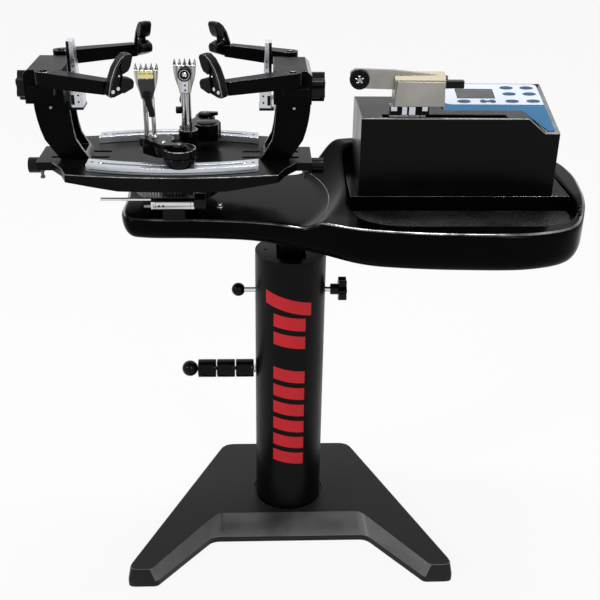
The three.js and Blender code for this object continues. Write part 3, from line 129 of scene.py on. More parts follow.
def grain_group() -> bpy.types.ShaderNodeTree:
    """Build the group that turns a position into a fine height and a soft mask.

    Returns:
        The group, with Position, Scale and Pebble inputs and Height and Mask outputs.
    """
    tree = shader_group(
        "surface_grain",
        {"Position": "NodeSocketVector", "Scale": "NodeSocketFloat", "Pebble": "NodeSocketFloat"},
        {"Height": "NodeSocketFloat", "Mask": "NodeSocketFloat"},
    )
    nodes, links = tree.nodes, tree.links
    fine = nodes.new("ShaderNodeTexNoise")
    fine.inputs["Detail"].default_value = GRAIN_DETAIL
    pebbles = nodes.new("ShaderNodeTexVoronoi")
    pebbles.feature = "SMOOTH_F1"
    mix = nodes.new("ShaderNodeMix")
    mask = nodes.new("ShaderNodeMapRange")
    mask.inputs["From Min"].default_value, mask.inputs["From Max"].default_value = SPECKLE_RANGE
    for texture in (fine, pebbles):
        links.new(nodes["in"].outputs["Position"], texture.inputs["Vector"])
        links.new(nodes["in"].outputs["Scale"], texture.inputs["Scale"])
    links.new(nodes["in"].outputs["Pebble"], mix.inputs["Factor"])
    links.new(fine.outputs["Fac"], mix.inputs["A"])
    links.new(pebbles.outputs["Distance"], mix.inputs["B"])
    links.new(fine.outputs["Fac"], mask.inputs["Value"])
    links.new(mix.outputs["Result"], nodes["out"].inputs["Height"])
    links.new(mask.outputs["Result"], nodes["out"].inputs["Mask"])
    return tree


def tone_group() -> bpy.types.ShaderNodeTree:
    """Build the group that varies a colour and a roughness softly over a surface.

    Returns:
        The group, with Position, Scale, Dark, Light, Smooth and Rough inputs and Color and Roughness outputs.
    """
    tree = shader_group(
        "tone_and_polish",
        {
            "Position": "NodeSocketVector",
            "Scale": "NodeSocketFloat",
            "Dark": "NodeSocketColor",
            "Light": "NodeSocketColor",
            "Smooth": "NodeSocketFloat",
            "Rough": "NodeSocketFloat",
        },
        {"Color": "NodeSocketColor", "Roughness": "NodeSocketFloat"},
    )
    nodes, links = tree.nodes, tree.links
    cloud = nodes.new("ShaderNodeTexNoise")
    cloud.inputs["Detail"].default_value = CLOUD_DETAIL
    spread = nodes.new("ShaderNodeMapRange")
    spread.inputs["From Min"].default_value, spread.inputs["From Max"].default_value = CLOUD_RANGE
    colour = nodes.new("ShaderNodeMix")
    colour.data_type = "RGBA"
    polish = nodes.new("ShaderNodeMix")
    links.new(nodes["in"].outputs["Position"], cloud.inputs["Vector"])
    links.new(nodes["in"].outputs["Scale"], cloud.inputs["Scale"])
    links.new(cloud.outputs["Fac"], spread.inputs["Value"])
    links.new(spread.outputs["Result"], colour.inputs["Factor"])
    links.new(spread.outputs["Result"], polish.inputs["Factor"])
    links.new(nodes["in"].outputs["Dark"], colour.inputs["A"])
    links.new(nodes["in"].outputs["Light"], colour.inputs["B"])
    links.new(nodes["in"].outputs["Smooth"], polish.inputs["A"])
    links.new(nodes["in"].outputs["Rough"], polish.inputs["B"])
    links.new(colour.outputs["Result"], nodes["out"].inputs["Color"])
    links.new(polish.outputs["Result"], nodes["out"].inputs["Roughness"])
    return tree


GROUPS: dict[str, bpy.types.ShaderNodeTree] = {}


def shared_group(name: str, build: Callable[[], bpy.types.ShaderNodeTree]) -> bpy.types.ShaderNodeTree:
    """Give a shared node group, built at its first use.

    Args:
        name: Key of the group.
        build: Function that builds it.

    Returns:
        The node group.
    """
    if name not in GROUPS:
        GROUPS[name] = build()
    return GROUPS[name]


@dataclass(frozen=True)
class Finish:
    """One surface finish: a colour with its polish, grain and variation."""

    name: str
    slot: str
    color: Sizes
    rough: Sizes
    metallic: float = 0.0
    specular: float = 0.5
    tone: float = 0.25
    tone_scale: float = 14.0
    grain: Grain = Grain.MOULDED
    grain_scale: float = 900.0
    grain_depth: float = 0.00003
    brush: Sizes = (1.0, 1.0, 1.0)
    streak: Sizes = (1.0, 1.0, 1.0)
    sparkle: float = 0.0

    def material(self) -> bpy.types.Material:
        """Give this finish's material, built at its first use."""
        return bpy.data.materials.get(self.name) or self.build()

    def build(self) -> bpy.types.Material:
        """Build the node tree of the finish.

        Returns:
            The new material.
        """
        material = bpy.data.materials.new(self.name)
        material.use_nodes = True
        nodes, links = material.node_tree.nodes, material.node_tree.links
        surface = nodes["Principled BSDF"]
        surface.inputs["Metallic"].default_value = self.metallic
        surface.inputs["Specular IOR Level"].default_value = self.specular
        place = nodes.new("ShaderNodeTexCoord")
        mapping = nodes.new("ShaderNodeMapping")
        mapping.inputs["Scale"].default_value = self.brush
        links.new(place.outputs["Object"], mapping.inputs["Vector"])
        tone = nodes.new("ShaderNodeGroup")
        tone.node_tree = shared_group("tone", tone_group)
        tone.inputs["Scale"].default_value = self.tone_scale
        tone.inputs["Dark"].default_value = self.shade(1.0 - self.tone)
        tone.inputs["Light"].default_value = self.shade(1.0 + self.tone)
        tone.inputs["Smooth"].default_value = self.rough[0]
        tone.inputs["Rough"].default_value = self.rough[1]
        grain = nodes.new("ShaderNodeGroup")
        grain.node_tree = shared_group("grain", grain_group)
        grain.inputs["Scale"].default_value = self.grain_scale
        grain.inputs["Pebble"].default_value = 1.0 if self.grain is Grain.PEBBLED else 0.0
        bump = nodes.new("ShaderNodeBump")
        bump.inputs["Distance"].default_value = self.grain_depth
        streaks = nodes.new("ShaderNodeMapping")
        streaks.inputs["Scale"].default_value = self.streak
        links.new(place.outputs["Object"], streaks.inputs["Vector"])
        links.new(streaks.outputs["Vector"], tone.inputs["Position"])
        links.new(mapping.outputs["Vector"], grain.inputs["Position"])
        links.new(grain.outputs["Height"], bump.inputs["Height"])
        links.new(tone.outputs["Roughness"], surface.inputs["Roughness"])
        links.new(bump.outputs["Normal"], surface.inputs["Normal"])
        # Where sparkle is set, lighter specks are mixed in at the grain's mask; on the tray mat and on the
        # foot's chamfer they are painted glints.
        if self.sparkle:
            glint = nodes.new("ShaderNodeMix")
            glint.data_type = "RGBA"
            glint.inputs["B"].default_value = self.shade(1.0 + self.sparkle)
            links.new(grain.outputs["Mask"], glint.inputs["Factor"])
            links.new(tone.outputs["Color"], glint.inputs["A"])
            links.new(glint.outputs["Result"], surface.inputs["Base Color"])
        else:
            links.new(tone.outputs["Color"], surface.inputs["Base Color"])
        return material

    def shade(self, factor: float) -> tuple[float, float, float, float]:
        """Give the finish's colour made lighter or darker by a factor."""
        red, green, blue = (min(channel * factor, 1.0) for channel in self.color)
        return red, green, blue, 1.0


FOOT_COAT = Finish("foot_powder_coat", "cast_black", (0.0085, 0.0085, 0.009), (0.34, 0.44), specular=0.18,
                   grain_scale=1500.0, grain_depth=0.00012, tone=0.16, sparkle=1.4)
COLUMN_COAT = Finish("column_satin_coat", "tube_black", (0.0024, 0.0024, 0.0026), (0.30, 0.38),
                     specular=0.08, grain_scale=1400.0, grain_depth=0.00004, tone=0.15)
PLATE_COAT = Finish("plate_gloss_coat", "cast_black", (0.0028, 0.0028, 0.003), (0.20, 0.28), specular=0.055,
                    grain_scale=1200.0, grain_depth=0.00004)
TOWER_COAT = Finish("tower_gloss_coat", "cast_black", (0.0009, 0.0009, 0.001), (0.16, 0.24), specular=0.035,
                    grain_scale=900.0)
CASE_COAT = Finish("case_satin_coat", "tube_black", (0.0022, 0.0022, 0.0023), (0.17, 0.25), specular=0.075,
                   grain_scale=1600.0, grain_depth=0.00005, tone=0.12)
SHELL_GLOSS = Finish("casing_gloss", "gloss_shell", (0.0008, 0.0008, 0.0009), (0.12, 0.2), specular=0.028,
                     grain_scale=160.0, grain_depth=0.00008, tone=0.2)
FRAME_PAINT = Finish("frame_paint", "tube_black", (0.008, 0.008, 0.008), (0.4, 0.5), specular=0.3)
KNOB_PLASTIC = Finish("knob_plastic", "matte_black", (0.003, 0.003, 0.0032), (0.28, 0.38), specular=0.13,
                      grain_scale=1300.0)
GLOSS_PLASTIC = Finish("gloss_knob_plastic", "matte_black", (0.0016, 0.0016, 0.0018), (0.10, 0.18),
                       specular=0.1)
ARM_COAT = Finish("arm_satin_coat", "tube_black", (0.0014, 0.0014, 0.0015), (0.24, 0.32), specular=0.035,
                  grain_scale=1500.0)
JAW_PLASTIC = Finish("jaw_plastic", "matte_black", (0.0018, 0.0018, 0.002), (0.14, 0.22), specular=0.11,
                     grain_scale=1200.0)
PAD_RUBBER = Finish("pad_rubber", "matte_black", (0.0028, 0.0028, 0.003), (0.22, 0.3), specular=0.14,
                    grain_scale=1400.0)
DARK_STEEL = Finish("dark_steel", "polished_steel", (0.10, 0.10, 0.105), (0.24, 0.34), metallic=1.0,
                    tone=0.12)
DARK_FACE = Finish("dark_clamp_face", "matte_black", (0.012, 0.012, 0.013), (0.24, 0.32), tone=0.1,
                   specular=0.4)
POLISHED_STEEL = Finish("polished_steel", "polished_steel", (0.56, 0.57, 0.59), (0.08, 0.16), metallic=1.0,
                        tone=0.1)
# Dull steel of its own grey, with light and dark streaks along Z as painted reflections.
DIM_STEEL_PAINTED_REFLECTIONS = Finish("dim_steel_painted_reflections", "polished_steel", (0.26, 0.26, 0.26), (0.28, 0.4), metallic=1.0, tone=0.5,
                    tone_scale=120.0, streak=(1.0, 1.0, 0.12))
SILVER_ALLOY = Finish("silver_alloy", "silver_alloy", (0.40, 0.42, 0.46), (0.26, 0.38), metallic=1.0,
                      tone=0.3, grain_scale=650.0, grain_depth=0.00014, sparkle=0.7, tone_scale=60.0,
                      streak=(0.06, 1.0, 1.0))
BRIGHT_ALLOY = Finish("bright_alloy", "silver_alloy", (0.58, 0.60, 0.64), (0.24, 0.34), metallic=1.0,
                      tone=0.1, grain_scale=500.0, grain_depth=0.00010, sparkle=0.3)
GROUND_STEEL = Finish("ground_steel", "stainless", (0.30, 0.288, 0.27), (0.34, 0.44), metallic=1.0,
                      tone=0.12, brush=(1.0, 1.0, 14.0), grain_scale=260.0, grain_depth=0.00006)
CROWN_STEEL = Finish("crown_steel", "stainless", (0.34, 0.31, 0.225), (0.46, 0.58), metallic=0.35,
                     specular=0.2, tone=0.1, brush=(10.0, 1.0, 1.0), grain_scale=220.0, grain_depth=0.00005)
# Black pebbled rubber; its lighter specks are painted glints that show the pebbles.
MAT_RUBBER = Finish("tray_mat_rubber", "tray_mat", (0.009, 0.009, 0.0095), (0.30, 0.46), specular=0.45,
                    grain=Grain.PEBBLED, grain_scale=230.0, grain_depth=0.002, tone=0.3, sparkle=4.0)
OVERLAY_WHITE = Finish("overlay_white", "panel_overlay", (0.56, 0.60, 0.67), (0.32, 0.4), specular=0.3,
                       tone=0.02, grain_scale=2000.0, grain_depth=0.00001)
OVERLAY_BLUE = Finish("overlay_blue", "overlay_blue", (0.010, 0.105, 0.235), (0.3, 0.38), specular=0.3,
                      tone=0.04)
KEY_BLUE = Finish("key_blue", "overlay_blue", (0.016, 0.06, 0.13), (0.28, 0.36), specular=0.3, tone=0.08)
KEY_RIM = Finish("key_rim", "overlay_blue", (0.24, 0.36, 0.50), (0.3, 0.36), specular=0.3, tone=0.04)
DISPLAY = Finish("display_window", "display_glass", (0.075, 0.078, 0.08), (0.12, 0.2), tone=0.12,
                 tone_scale=40.0, specular=0.3)
BRASS = Finish("satin_brass", "brass_insert", (0.80, 0.68, 0.30), (0.22, 0.32), metallic=1.0, tone=0.14)
RED_PAINT = Finish("red_paint", "red_paint", (0.52, 0.010, 0.018), (0.34, 0.42), specular=0.25, tone=0.08,
                   grain_scale=1400.0, grain_depth=0.00003)
# Bright steel with light and dark bands along X that are painted reflections on the brake barrel.
STEEL_PAINTED_BANDS = Finish("steel_painted_bands", "polished_steel", (0.44, 0.44, 0.45), (0.10, 0.2), metallic=1.0,
                      tone=0.85, tone_scale=170.0, streak=(0.02, 1.0, 1.0))
# Alloy darkened as painted shade, for the floor of the rails' slots.
SLOT_FLOOR_PAINTED_SHADE = Finish("slot_floor_painted_shade", "silver_alloy", (0.09, 0.095, 0.11), (0.3, 0.4), metallic=1.0,
                    tone=0.4, tone_scale=40.0)
# Bright steel with strong light and dark streaks along Z that are painted reflections.
STEEL_PAINTED_STREAKS = Finish("steel_painted_streaks", "polished_steel", (0.36, 0.36, 0.35), (0.06, 0.2), metallic=1.0,
                        tone=0.95, tone_scale=230.0, streak=(1.0, 1.0, 0.03))
# Lighter metallic grey laid on the upward roundings of the plate and the towers as a painted highlight.
PAINTED_CAST_HIGHLIGHT = Finish("cast_painted_highlight", "cast_black", (0.20, 0.20, 0.205), (0.2, 0.3), metallic=1.0, tone=0.45,
                   tone_scale=60.0)
# Foot coat with more gloss on its upward chamfers, and a lighter colour there that is a painted highlight.
PAINTED_CHAMFER_HIGHLIGHT = Finish("foot_chamfer_painted_highlight", "cast_black", (0.05, 0.05, 0.051), (0.36, 0.46), specular=0.8,
                       tone=0.65, tone_scale=9.0, grain_scale=700.0, grain_depth=0.0002, sparkle=2.4)
# Lighter metallic grey laid on the front edge roundings of the case and of the jaw rims as a painted
# highlight.
PAINTED_EDGE_HIGHLIGHT = Finish("edge_painted_highlight", "tube_black", (0.20, 0.20, 0.205), (0.34, 0.44), metallic=1.0,
                     tone=0.15, tone_scale=50.0)
# Light metallic grey laid on the arms' upper edge roundings as a painted highlight.
PAINTED_ARM_HIGHLIGHT = Finish("arm_painted_highlight", "tube_black", (0.50, 0.50, 0.50), (0.2, 0.3), metallic=1.0, tone=0.6,
                  tone_scale=14.0)
# Lighter metallic grey on the casing's rim rounding, the platform's edges and the shoulder ridge as a painted
# highlight.
PAINTED_GLOSS_HIGHLIGHT = Finish("shell_edge_painted_highlight", "gloss_shell", (0.17, 0.17, 0.175), (0.10, 0.16), metallic=0.8, tone=0.7,
                    tone_scale=26.0)
# Black for holes, slots, grooves and gaps, painted in as their shade.
RECESS_PAINTED_SHADE = Finish("recess_painted_shade", "matte_black", (0.0012, 0.0012, 0.0012), (0.7, 0.8), specular=0.1)


# Bench tools

FaceTest = Callable[[Vector, Vector], bool]
LEAST_RISE = 0.3
LEAST_TILT = 0.05
RIDGE_RISE = 0.2
CHAMFER_RISE = 0.25
EDGE_TILT = 0.97
SHADE_MARGIN = 5.0
NORMAL_WEIGHT = 60
WELD = 1e-6
MERGE = 1e-5
FLAT_ANGLE = 0.6
KEEN_CREASE = 25.0
SHARP_CREASE = 30.0
CREASE = 35.0
BLUNT_CREASE = 40.0
WIDE_CREASE = 50.0


@dataclass(frozen=True)
class Rounding:
    """Widths of rounded edges, from those of thin sheets to those of castings."""

    film: float = 0.2 * MM
    sheet: float = 0.25 * MM
    hair: float = 0.3 * MM
    thin: float = 0.4 * MM
    fine: float = 0.5 * MM
    small: float = 0.6 * MM
    light: float = 0.8 * MM
    plain: float = 1.0 * MM
    soft: float = 1.2 * MM
    plate: float = 1.3 * MM
    clamp: float = 1.4 * MM
    grip: float = 1.5 * MM
    tower: float = 1.6 * MM
    pad: float = 2.2 * MM
    foot: float = 2.5 * MM
    case: float = 2.6 * MM
    deck: float = 3.0 * MM


ROUND = Rounding()


def deselect_all() -> None:
    """Leave no object selected."""
    for item in bpy.context.selected_objects:
        item.select_set(False)


def pick(piece: Object) -> Object:
    """Make a piece the only selected and active object.

    Args:
        piece: The object.

    Returns:
        The same object.
    """
    deselect_all()
    piece.select_set(True)
    bpy.context.view_layer.objects.active = piece
    return piece


def settle(piece: Object) -> Object:
    """Put the object's place, turn and size into its mesh.

    Args:
        piece: The object.

    Returns:
        The same object, at the origin.
    """
    pick(piece)
    bpy.ops.object.transform_apply(location=True, rotation=True, scale=True)
    return piece


def modified(piece: Object, kind: str, **settings: object) -> Object:
    """Add a modifier to a piece and apply it.

    Args:
        piece: Mesh object.
        kind: Blender's type name of the modifier.
        **settings: Properties of the modifier.

    Returns:
        The piece.
    """
    pick(piece)
    modifier = piece.modifiers.new(kind.lower(), kind)
    for label, value in settings.items():
        setattr(modifier, label, value)
    bpy.ops.object.modifier_apply(modifier=modifier.name)
    return piece


def tilted(way: Vector, place: Vector) -> bool:
    """Tell whether a face is part of a slanted rounding between an upright and a level or turned face."""
    return LEAST_TILT < way.z < EDGE_TILT and max(abs(way.x), abs(way.y)) < EDGE_TILT


def chamfer(way: Vector, place: Vector) -> bool:
    """Tell whether a face is part of a slope that faces upwards."""
    return CHAMFER_RISE < way.z < EDGE_TILT


def ridge(way: Vector, place: Vector) -> bool:
    """Tell whether a face is part of the rounding along a bar's upper edge."""
    return RIDGE_RISE < way.z < EDGE_TILT


def smoothed(piece: Object, crease: float = CREASE) -> Object:
    """Shade a piece smooth up to a crease angle in degrees.

    Args:
        piece: The object.
        crease: Angle above which an edge stays sharp.

    Returns:
        The same object.
    """
    pick(piece)
    bpy.ops.object.shade_smooth_by_angle(angle=math.radians(crease))
    return piece


def rounded_edges(piece: Object, width: float, segments: int = 2, crease: float = CREASE,
                  slot: int = -1) -> Object:
    """Round the edges sharper than a crease angle, and shade the piece smooth.

    Args:
        piece: Mesh object.
        width: Width of the rounding.
        segments: Faces across the rounding.
        crease: Least angle between two faces, in degrees, at which their edge is rounded.
        slot: Material slot of the rounding's faces, or -1 for that of their neighbours.

    Returns:
        The piece.
    """
    modified(piece, "BEVEL", width=width, segments=segments, limit_method="ANGLE",
             angle_limit=math.radians(crease), use_clamp_overlap=True, miter_outer="MITER_ARC",
             harden_normals=False, material=slot)
    smoothed(piece, crease + SHADE_MARGIN)
    return modified(piece, "WEIGHTED_NORMAL", keep_sharp=True, weight=NORMAL_WEIGHT)


def box_piece(name: str, low: Point, high: Point) -> Object:
    """Add a box between two corners.

    Args:
        name: Name of the box.
        low: One corner.
        high: The corner across from it.

    Returns:
        The box.
    """
    middle = [(a + b) / 2 for a, b in zip(low, high)]
    deselect_all()
    bpy.ops.mesh.primitive_cube_add(size=1.0, location=middle)
    piece = bpy.context.object
    piece.name = name
    piece.scale = [abs(b - a) for a, b in zip(low, high)]
    return settle(piece)


AXIS_TURN = {"x": (0.0, math.pi / 2, 0.0), "y": (-math.pi / 2, 0.0, 0.0), "z": (0.0, 0.0, 0.0)}


def rod_piece(name: str, axis: str, radius: float, start: Point, length: float,
              end_radius: float | None = None, sides: int = 48) -> Object:
    """Add a round rod or cone along an axis.

    Args:
        name: Name of the piece.
        axis: Axis that it follows, x, y or z.
        radius: Radius at its start.
        start: Centre of its first end.
        length: Length along the axis.
        end_radius: Radius at its other end, or None for the same.
        sides: Faces round it.

    Returns:
        The new piece.
    """
    index = "xyz".index(axis)
    centre = list(start)
    centre[index] += length / 2
    deselect_all()
    tip = radius if end_radius is None else end_radius
    bpy.ops.mesh.primitive_cone_add(vertices=sides, radius1=radius, radius2=tip,
                                    depth=length, location=centre,
                                    rotation=AXIS_TURN[axis])
    piece = bpy.context.object
    piece.name = name
    return settle(piece)


def new_piece(name: str, corners: Sequence[Point], edges: Sequence[Sequence[int]],
              faces: Sequence[Sequence[int]]) -> Object:
    """Add an object with a mesh of its own, and select it alone.

    Args:
        name: Name of the object and its mesh.
        corners: Corner points.
        edges: Corner pairs of loose edges.
        faces: Corner numbers of each face.

    Returns:
        The new object.
    """
    mesh = bpy.data.meshes.new(name)
    mesh.from_pydata(corners, edges, faces)
    piece = bpy.data.objects.new(name, mesh)
    bpy.context.scene.collection.objects.link(piece)
    return pick(piece)


def edit_all() -> None:
    """Go into edit mode with everything selected."""
    bpy.ops.object.mode_set(mode="EDIT")
    bpy.ops.mesh.select_all(action="SELECT")


def turned_out() -> None:
    """Turn all faces of the mesh in edit mode outwards, and leave edit mode."""
    bpy.ops.mesh.select_all(action="SELECT")
    bpy.ops.mesh.normals_make_consistent(inside=False)
    bpy.ops.object.mode_set(mode="OBJECT")


def lathe_piece(name: str, axis: str, centre: Point, profile: Outline, steps: int = 64,
                crease: float = BLUNT_CREASE) -> Object:
    """Spin a profile of (distance along the axis, radius) pairs into a closed round piece.

    Args:
        name: Name of the piece.
        axis: Axis of the spin, x, y or z.
        centre: Point on the axis that the distances count from.
        profile: Pairs of distance and radius, from one end to the other.
        steps: Steps of the spin.
        crease: Crease angle of its shading, in degrees.

    Returns:
        The new piece.
    """
    points = [(radius, 0.0, along) for along, radius in profile]
    piece = new_piece(name, points, [(i, i + 1) for i in range(len(points) - 1)], [])
    edit_all()
    bpy.ops.mesh.spin(steps=steps, angle=math.tau, center=(0, 0, 0), axis=(0, 0, 1))
    bpy.ops.mesh.select_all(action="SELECT")
    bpy.ops.mesh.remove_doubles(threshold=WELD)
    turned_out()
    piece.rotation_euler = AXIS_TURN[axis]
    piece.location = centre
    settle(piece)
    return smoothed(piece, crease)


def prism_piece(name: str, outline: Outline, low: float, high: float, axis: str = "z") -> Object:
    """Extrude a closed outline between two levels.

    Args:
        name: Name of the piece.
        outline: Corner pairs, (x, y) for axis z, (x, z) for axis y and (y, z) for axis x.
        low: First level on the axis.
        high: Second level on the axis.
        axis: Axis of the extrusion.

    Returns:
        The new piece.
    """
    places = {"z": lambda u, v, w: (u, v, w), "y": lambda u, v, w: (u, w, v), "x": lambda u, v, w: (w, u, v)}
    place = places[axis]
    piece = new_piece(name, [place(u, v, low) for u, v in outline], [], [list(range(len(outline)))])
    edit_all()
    bpy.ops.mesh.extrude_region_move(TRANSFORM_OT_translate={"value": place(0.0, 0.0, high - low)})
    turned_out()
    return piece


def mesh_piece(name: str, corners: Sequence[Point], faces: Sequence[Sequence[int]]) -> Object:
    """Add a piece made of corners and faces, its faces turned outwards.

    Args:
        name: Name of the piece.
        corners: Its corners.
        faces: Corner numbers of each face.

    Returns:
        The piece.
    """
    piece = new_piece(name, corners, [], faces)
    edit_all()
    turned_out()
    return piece


def joined(name: str, pieces: Iterable[Object]) -> Object:
    """Join several mesh objects into one.

    Args:
        name: Name of the whole.
        pieces: The objects, used up.

    Returns:
        The whole.
    """
    members = list(pieces)
    pick(members[0])
    for member in members[1:]:
        member.select_set(True)
    bpy.ops.object.join()
    members[0].name = name
    return members[0]


def moved(piece: Object, matrix: Matrix) -> Object:
    """Turn and shift the mesh of a piece.

    Args:
        piece: The object.
        matrix: Turn and shift.

    Returns:
        The same object.
    """
    piece.data.transform(matrix)
    piece.data.update()
    return piece


def carved(piece: Object, *tools: Object) -> Object:
    """Cut tools out of a piece, and delete them."""
    for tool in tools:
        modified(piece, "BOOLEAN", operation="DIFFERENCE", solver="EXACT", object=tool)
        bpy.data.objects.remove(tool)
    return piece


def dressed(piece: Object, finish: Finish, body: str, *replaced: str, trim: Finish | None = None) -> Object:
    """Give a piece its finish, its body and the solids that it stands for.

    Args:
        piece: Finished mesh object.
        finish: Its surface finish.
        body: Body that it moves with.
        *replaced: Solids that it stands for.
        trim: Finish of the faces in its second material slot, where it has them.

    Returns:
        The piece.
    """
    slots = [polygon.material_index for polygon in piece.data.polygons]
    piece.data.materials.clear()
    piece.data.materials.append(finish.material())
    if trim:
        piece.data.materials.append(trim.material())
        piece.data.polygons.foreach_set("material_index", slots)
    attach(piece, body)
    if replaced:
        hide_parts(*replaced)
    LOG.info("%s rides on %s", piece.name, body)
    return piece


def softened(node: str, finish: Finish, width: float = ROUND.light, segments: int = 2,
             crease: float = CREASE, whole_faces: bool = True, trim: Finish | None = None,
             trim_faces: FaceTest | None = None) -> Object:
    """Stand a copy of a solid, with merged corners and rounded edges, in its place.

    Args:
        node: Name of the solid.
        finish: Surface finish of the copy.
        width: Width of the rounding of its edges.
        segments: Faces across the rounding.
        crease: Least edge angle that is rounded, in degrees.
        whole_faces: Whether flat faces stay whole, or are cut into triangles where slots run through them.
        trim: Lighter finish laid on the picked edge roundings as a painted highlight.
        trim_faces: Test of a face's normal and middle that picks them, or None for all roundings that
            face upwards.

    Returns:
        The new piece.
    """
    piece = merged_copy(node, f"{node}_dress")
    if not whole_faces:
        modified(piece, "TRIANGULATE", ngon_method="BEAUTY")
    if trim is None:
        rounded_edges(piece, width, segments, crease)
        return dressed(piece, finish, NODE_BODY[node], node)
    piece.data.materials.clear()
    for item in (finish, trim):
        piece.data.materials.append(item.material())
    rounded_edges(piece, width, segments, crease, 1)
    for polygon in piece.data.polygons:
        if trim_faces:
            polygon.material_index = int(trim_faces(polygon.normal, polygon.center))
        elif polygon.normal.z < LEAST_RISE:
            polygon.material_index = 0
    return dressed(piece, finish, NODE_BODY[node], node, trim=trim)


def merged_copy(node: str, name: str) -> Object:
    """Copy a solid's mesh, with its corners merged and its flat faces whole.

    Args:
        node: Name of the solid.
        name: Name of the copy.

    Returns:
        The copy.
    """
    piece = bpy.data.objects.new(name, frame["nodes"][node].data.copy())
    bpy.context.scene.collection.objects.link(piece)
    pick(piece)
    edit_all()
    bpy.ops.mesh.remove_doubles(threshold=MERGE)
    bpy.ops.mesh.dissolve_limited(angle_limit=math.radians(FLAT_ANGLE))
    bpy.ops.object.mode_set(mode="OBJECT")
    return piece


def painted(node: str, finish: Finish) -> None:
    """Give a solid that stays in view its finish.

    Args:
        node: Name of the solid.
        finish: Its surface finish.
    """
    materials = frame["nodes"][node].data.materials
    materials.clear()
    materials.append(finish.material())
    LOG.info("%s keeps its shape in %s", node, finish.name)


def blended_min(a: np.ndarray, b: np.ndarray, reach: float) -> np.ndarray:
    """Give the smaller of two heights, with a rounded change from one to the other."""
    share = np.clip(0.5 + 0.5 * (b - a) / reach, 0.0, 1.0)
    return b + (a - b) * share - reach * share * (1.0 - share)


def smooth_share(value: np.ndarray, low: float, high: float) -> np.ndarray:
    """Give the smooth step from 0 at low to 1 at high."""
    share = np.clip((value - low) / (high - low), 0.0, 1.0)
    return share * share * (3.0 - 2.0 * share)


def rounded_outline(corners: Outline, radii: Sequence[float], steps: int = 12) -> list[tuple[float, float]]:
    """Round the corners of an outline.

    Args:
        corners: Corner pairs in order.
        radii: Radius at each corner.
        steps: Steps along each rounded corner.

    Returns:
        The points of the rounded outline.
    """
    points = []
    count = len(corners)
    for index, corner in enumerate(corners):
        here = Vector(corner)
        before = (Vector(corners[index - 1]) - here).normalized()
        after = (Vector(corners[(index + 1) % count]) - here).normalized()
        half = math.acos(max(-1.0, min(1.0, before.dot(after)))) / 2
        reach = radii[index] / math.tan(half)
        for step in range(steps + 1):
            share = step / steps
            point = here + before * reach * (1 - share) ** 2 + after * reach * share**2
            points.append((point.x, point.y))
    return points


# Sub-assemblies

BAND_CORNERS = 4
BOLT_STEPS = 32
BOLT_SHARES = (
    (0.0, 0.0), (0.0, 1.0), (0.6, 1.0), (0.9, 0.82), (1.0, 0.6), (1.0, 0.42), (0.4, 0.42), (0.4, 0.0))


def band_faces(steps: int) -> list[tuple[int, ...]]:
    """Give the faces of a closed band with four corners at each of its steps.

    Args:
        steps: Number of steps along the band.

    Returns:
        Corner numbers of each face.
    """
    section = range(BAND_CORNERS)
    faces = [tuple(section), tuple(steps * BAND_CORNERS + side for side in reversed(section))]
    for step in range(steps):
        for side in section:
            a, b = step * BAND_CORNERS + side, step * BAND_CORNERS + (side + 1) % BAND_CORNERS
            faces.append((a, a + BAND_CORNERS, b + BAND_CORNERS, b))
    return faces


def lined_up(outline: Outline, centre: Point, size: Point) -> list[tuple[float, float]]:
    """Place an outline of shares round a centre at a size."""
    return [(centre[0] + u * size[0], centre[1] + v * size[1]) for u, v in outline]


def bent_line(points: Iterable[tuple[float, float]]) -> list[tuple[float, float]]:
    """Give the points of a sorted row that bend it one way only.

    Args:
        points: Points of the row, sorted.

    Returns:
        The points that stay, without the last.
    """
    line: list[Sizes] = []
    for point in points:
        while len(line) > 1:
            a, b = Vector(line[-1]) - Vector(line[-2]), Vector(point) - Vector(line[-2])
            if a.x * b.y - a.y * b.x > 0:
                break
            line.pop()
        line.append(point)
    return line[:-1]


def round_hull(discs: Sequence[tuple[float, float, float]], steps: int = 48) -> list[tuple[float, float]]:
    """Give the outline of the taut band round some discs.

    Args:
        discs: Middle and radius of each disc.
        steps: Points round each disc.

    Returns:
        The points of the band, anticlockwise.
    """
    turns = [math.tau * step / steps for step in range(steps)]
    points = sorted((x + math.cos(turn) * radius, y + math.sin(turn) * radius)
                    for x, y, radius in discs for turn in turns)
    return bent_line(points) + bent_line(reversed(points))


def bolt_piece(name: str, axis: str, radius: float, seat: Point, height: float) -> Object:
    """Add a domed bolt head with a recess, standing along an axis from its seat.

    Args:
        name: Name of the piece.
        axis: Axis that the bolt follows.
        radius: Radius of the head.
        seat: Centre of its seat.
        height: Height of the head, below zero to point the other way.

    Returns:
        The new piece.
    """
    profile = [(height * rise, radius * reach) for rise, reach in BOLT_SHARES]
    return lathe_piece(name, axis, seat, profile, BOLT_STEPS)


def ball_profile(radius: float, stem: float, steps: int = 20) -> list[tuple[float, float]]:
    """Give the lathe profile of a ball with a flat for its stem at the start.

    Args:
        radius: Radius of the ball.
        stem: Radius of the flat.
        steps: Steps along the profile.

    Returns:
        Pairs of a place along the axis and a reach.
    """
    first = math.asin(stem / radius)
    angles = [first + (math.pi - first) * step / steps for step in range(steps + 1)]
    points = [(-radius * math.cos(angle), radius * math.sin(angle)) for angle in angles]
    return [(points[0][0], 0.0), *points[:-1], (radius, 0.0)]


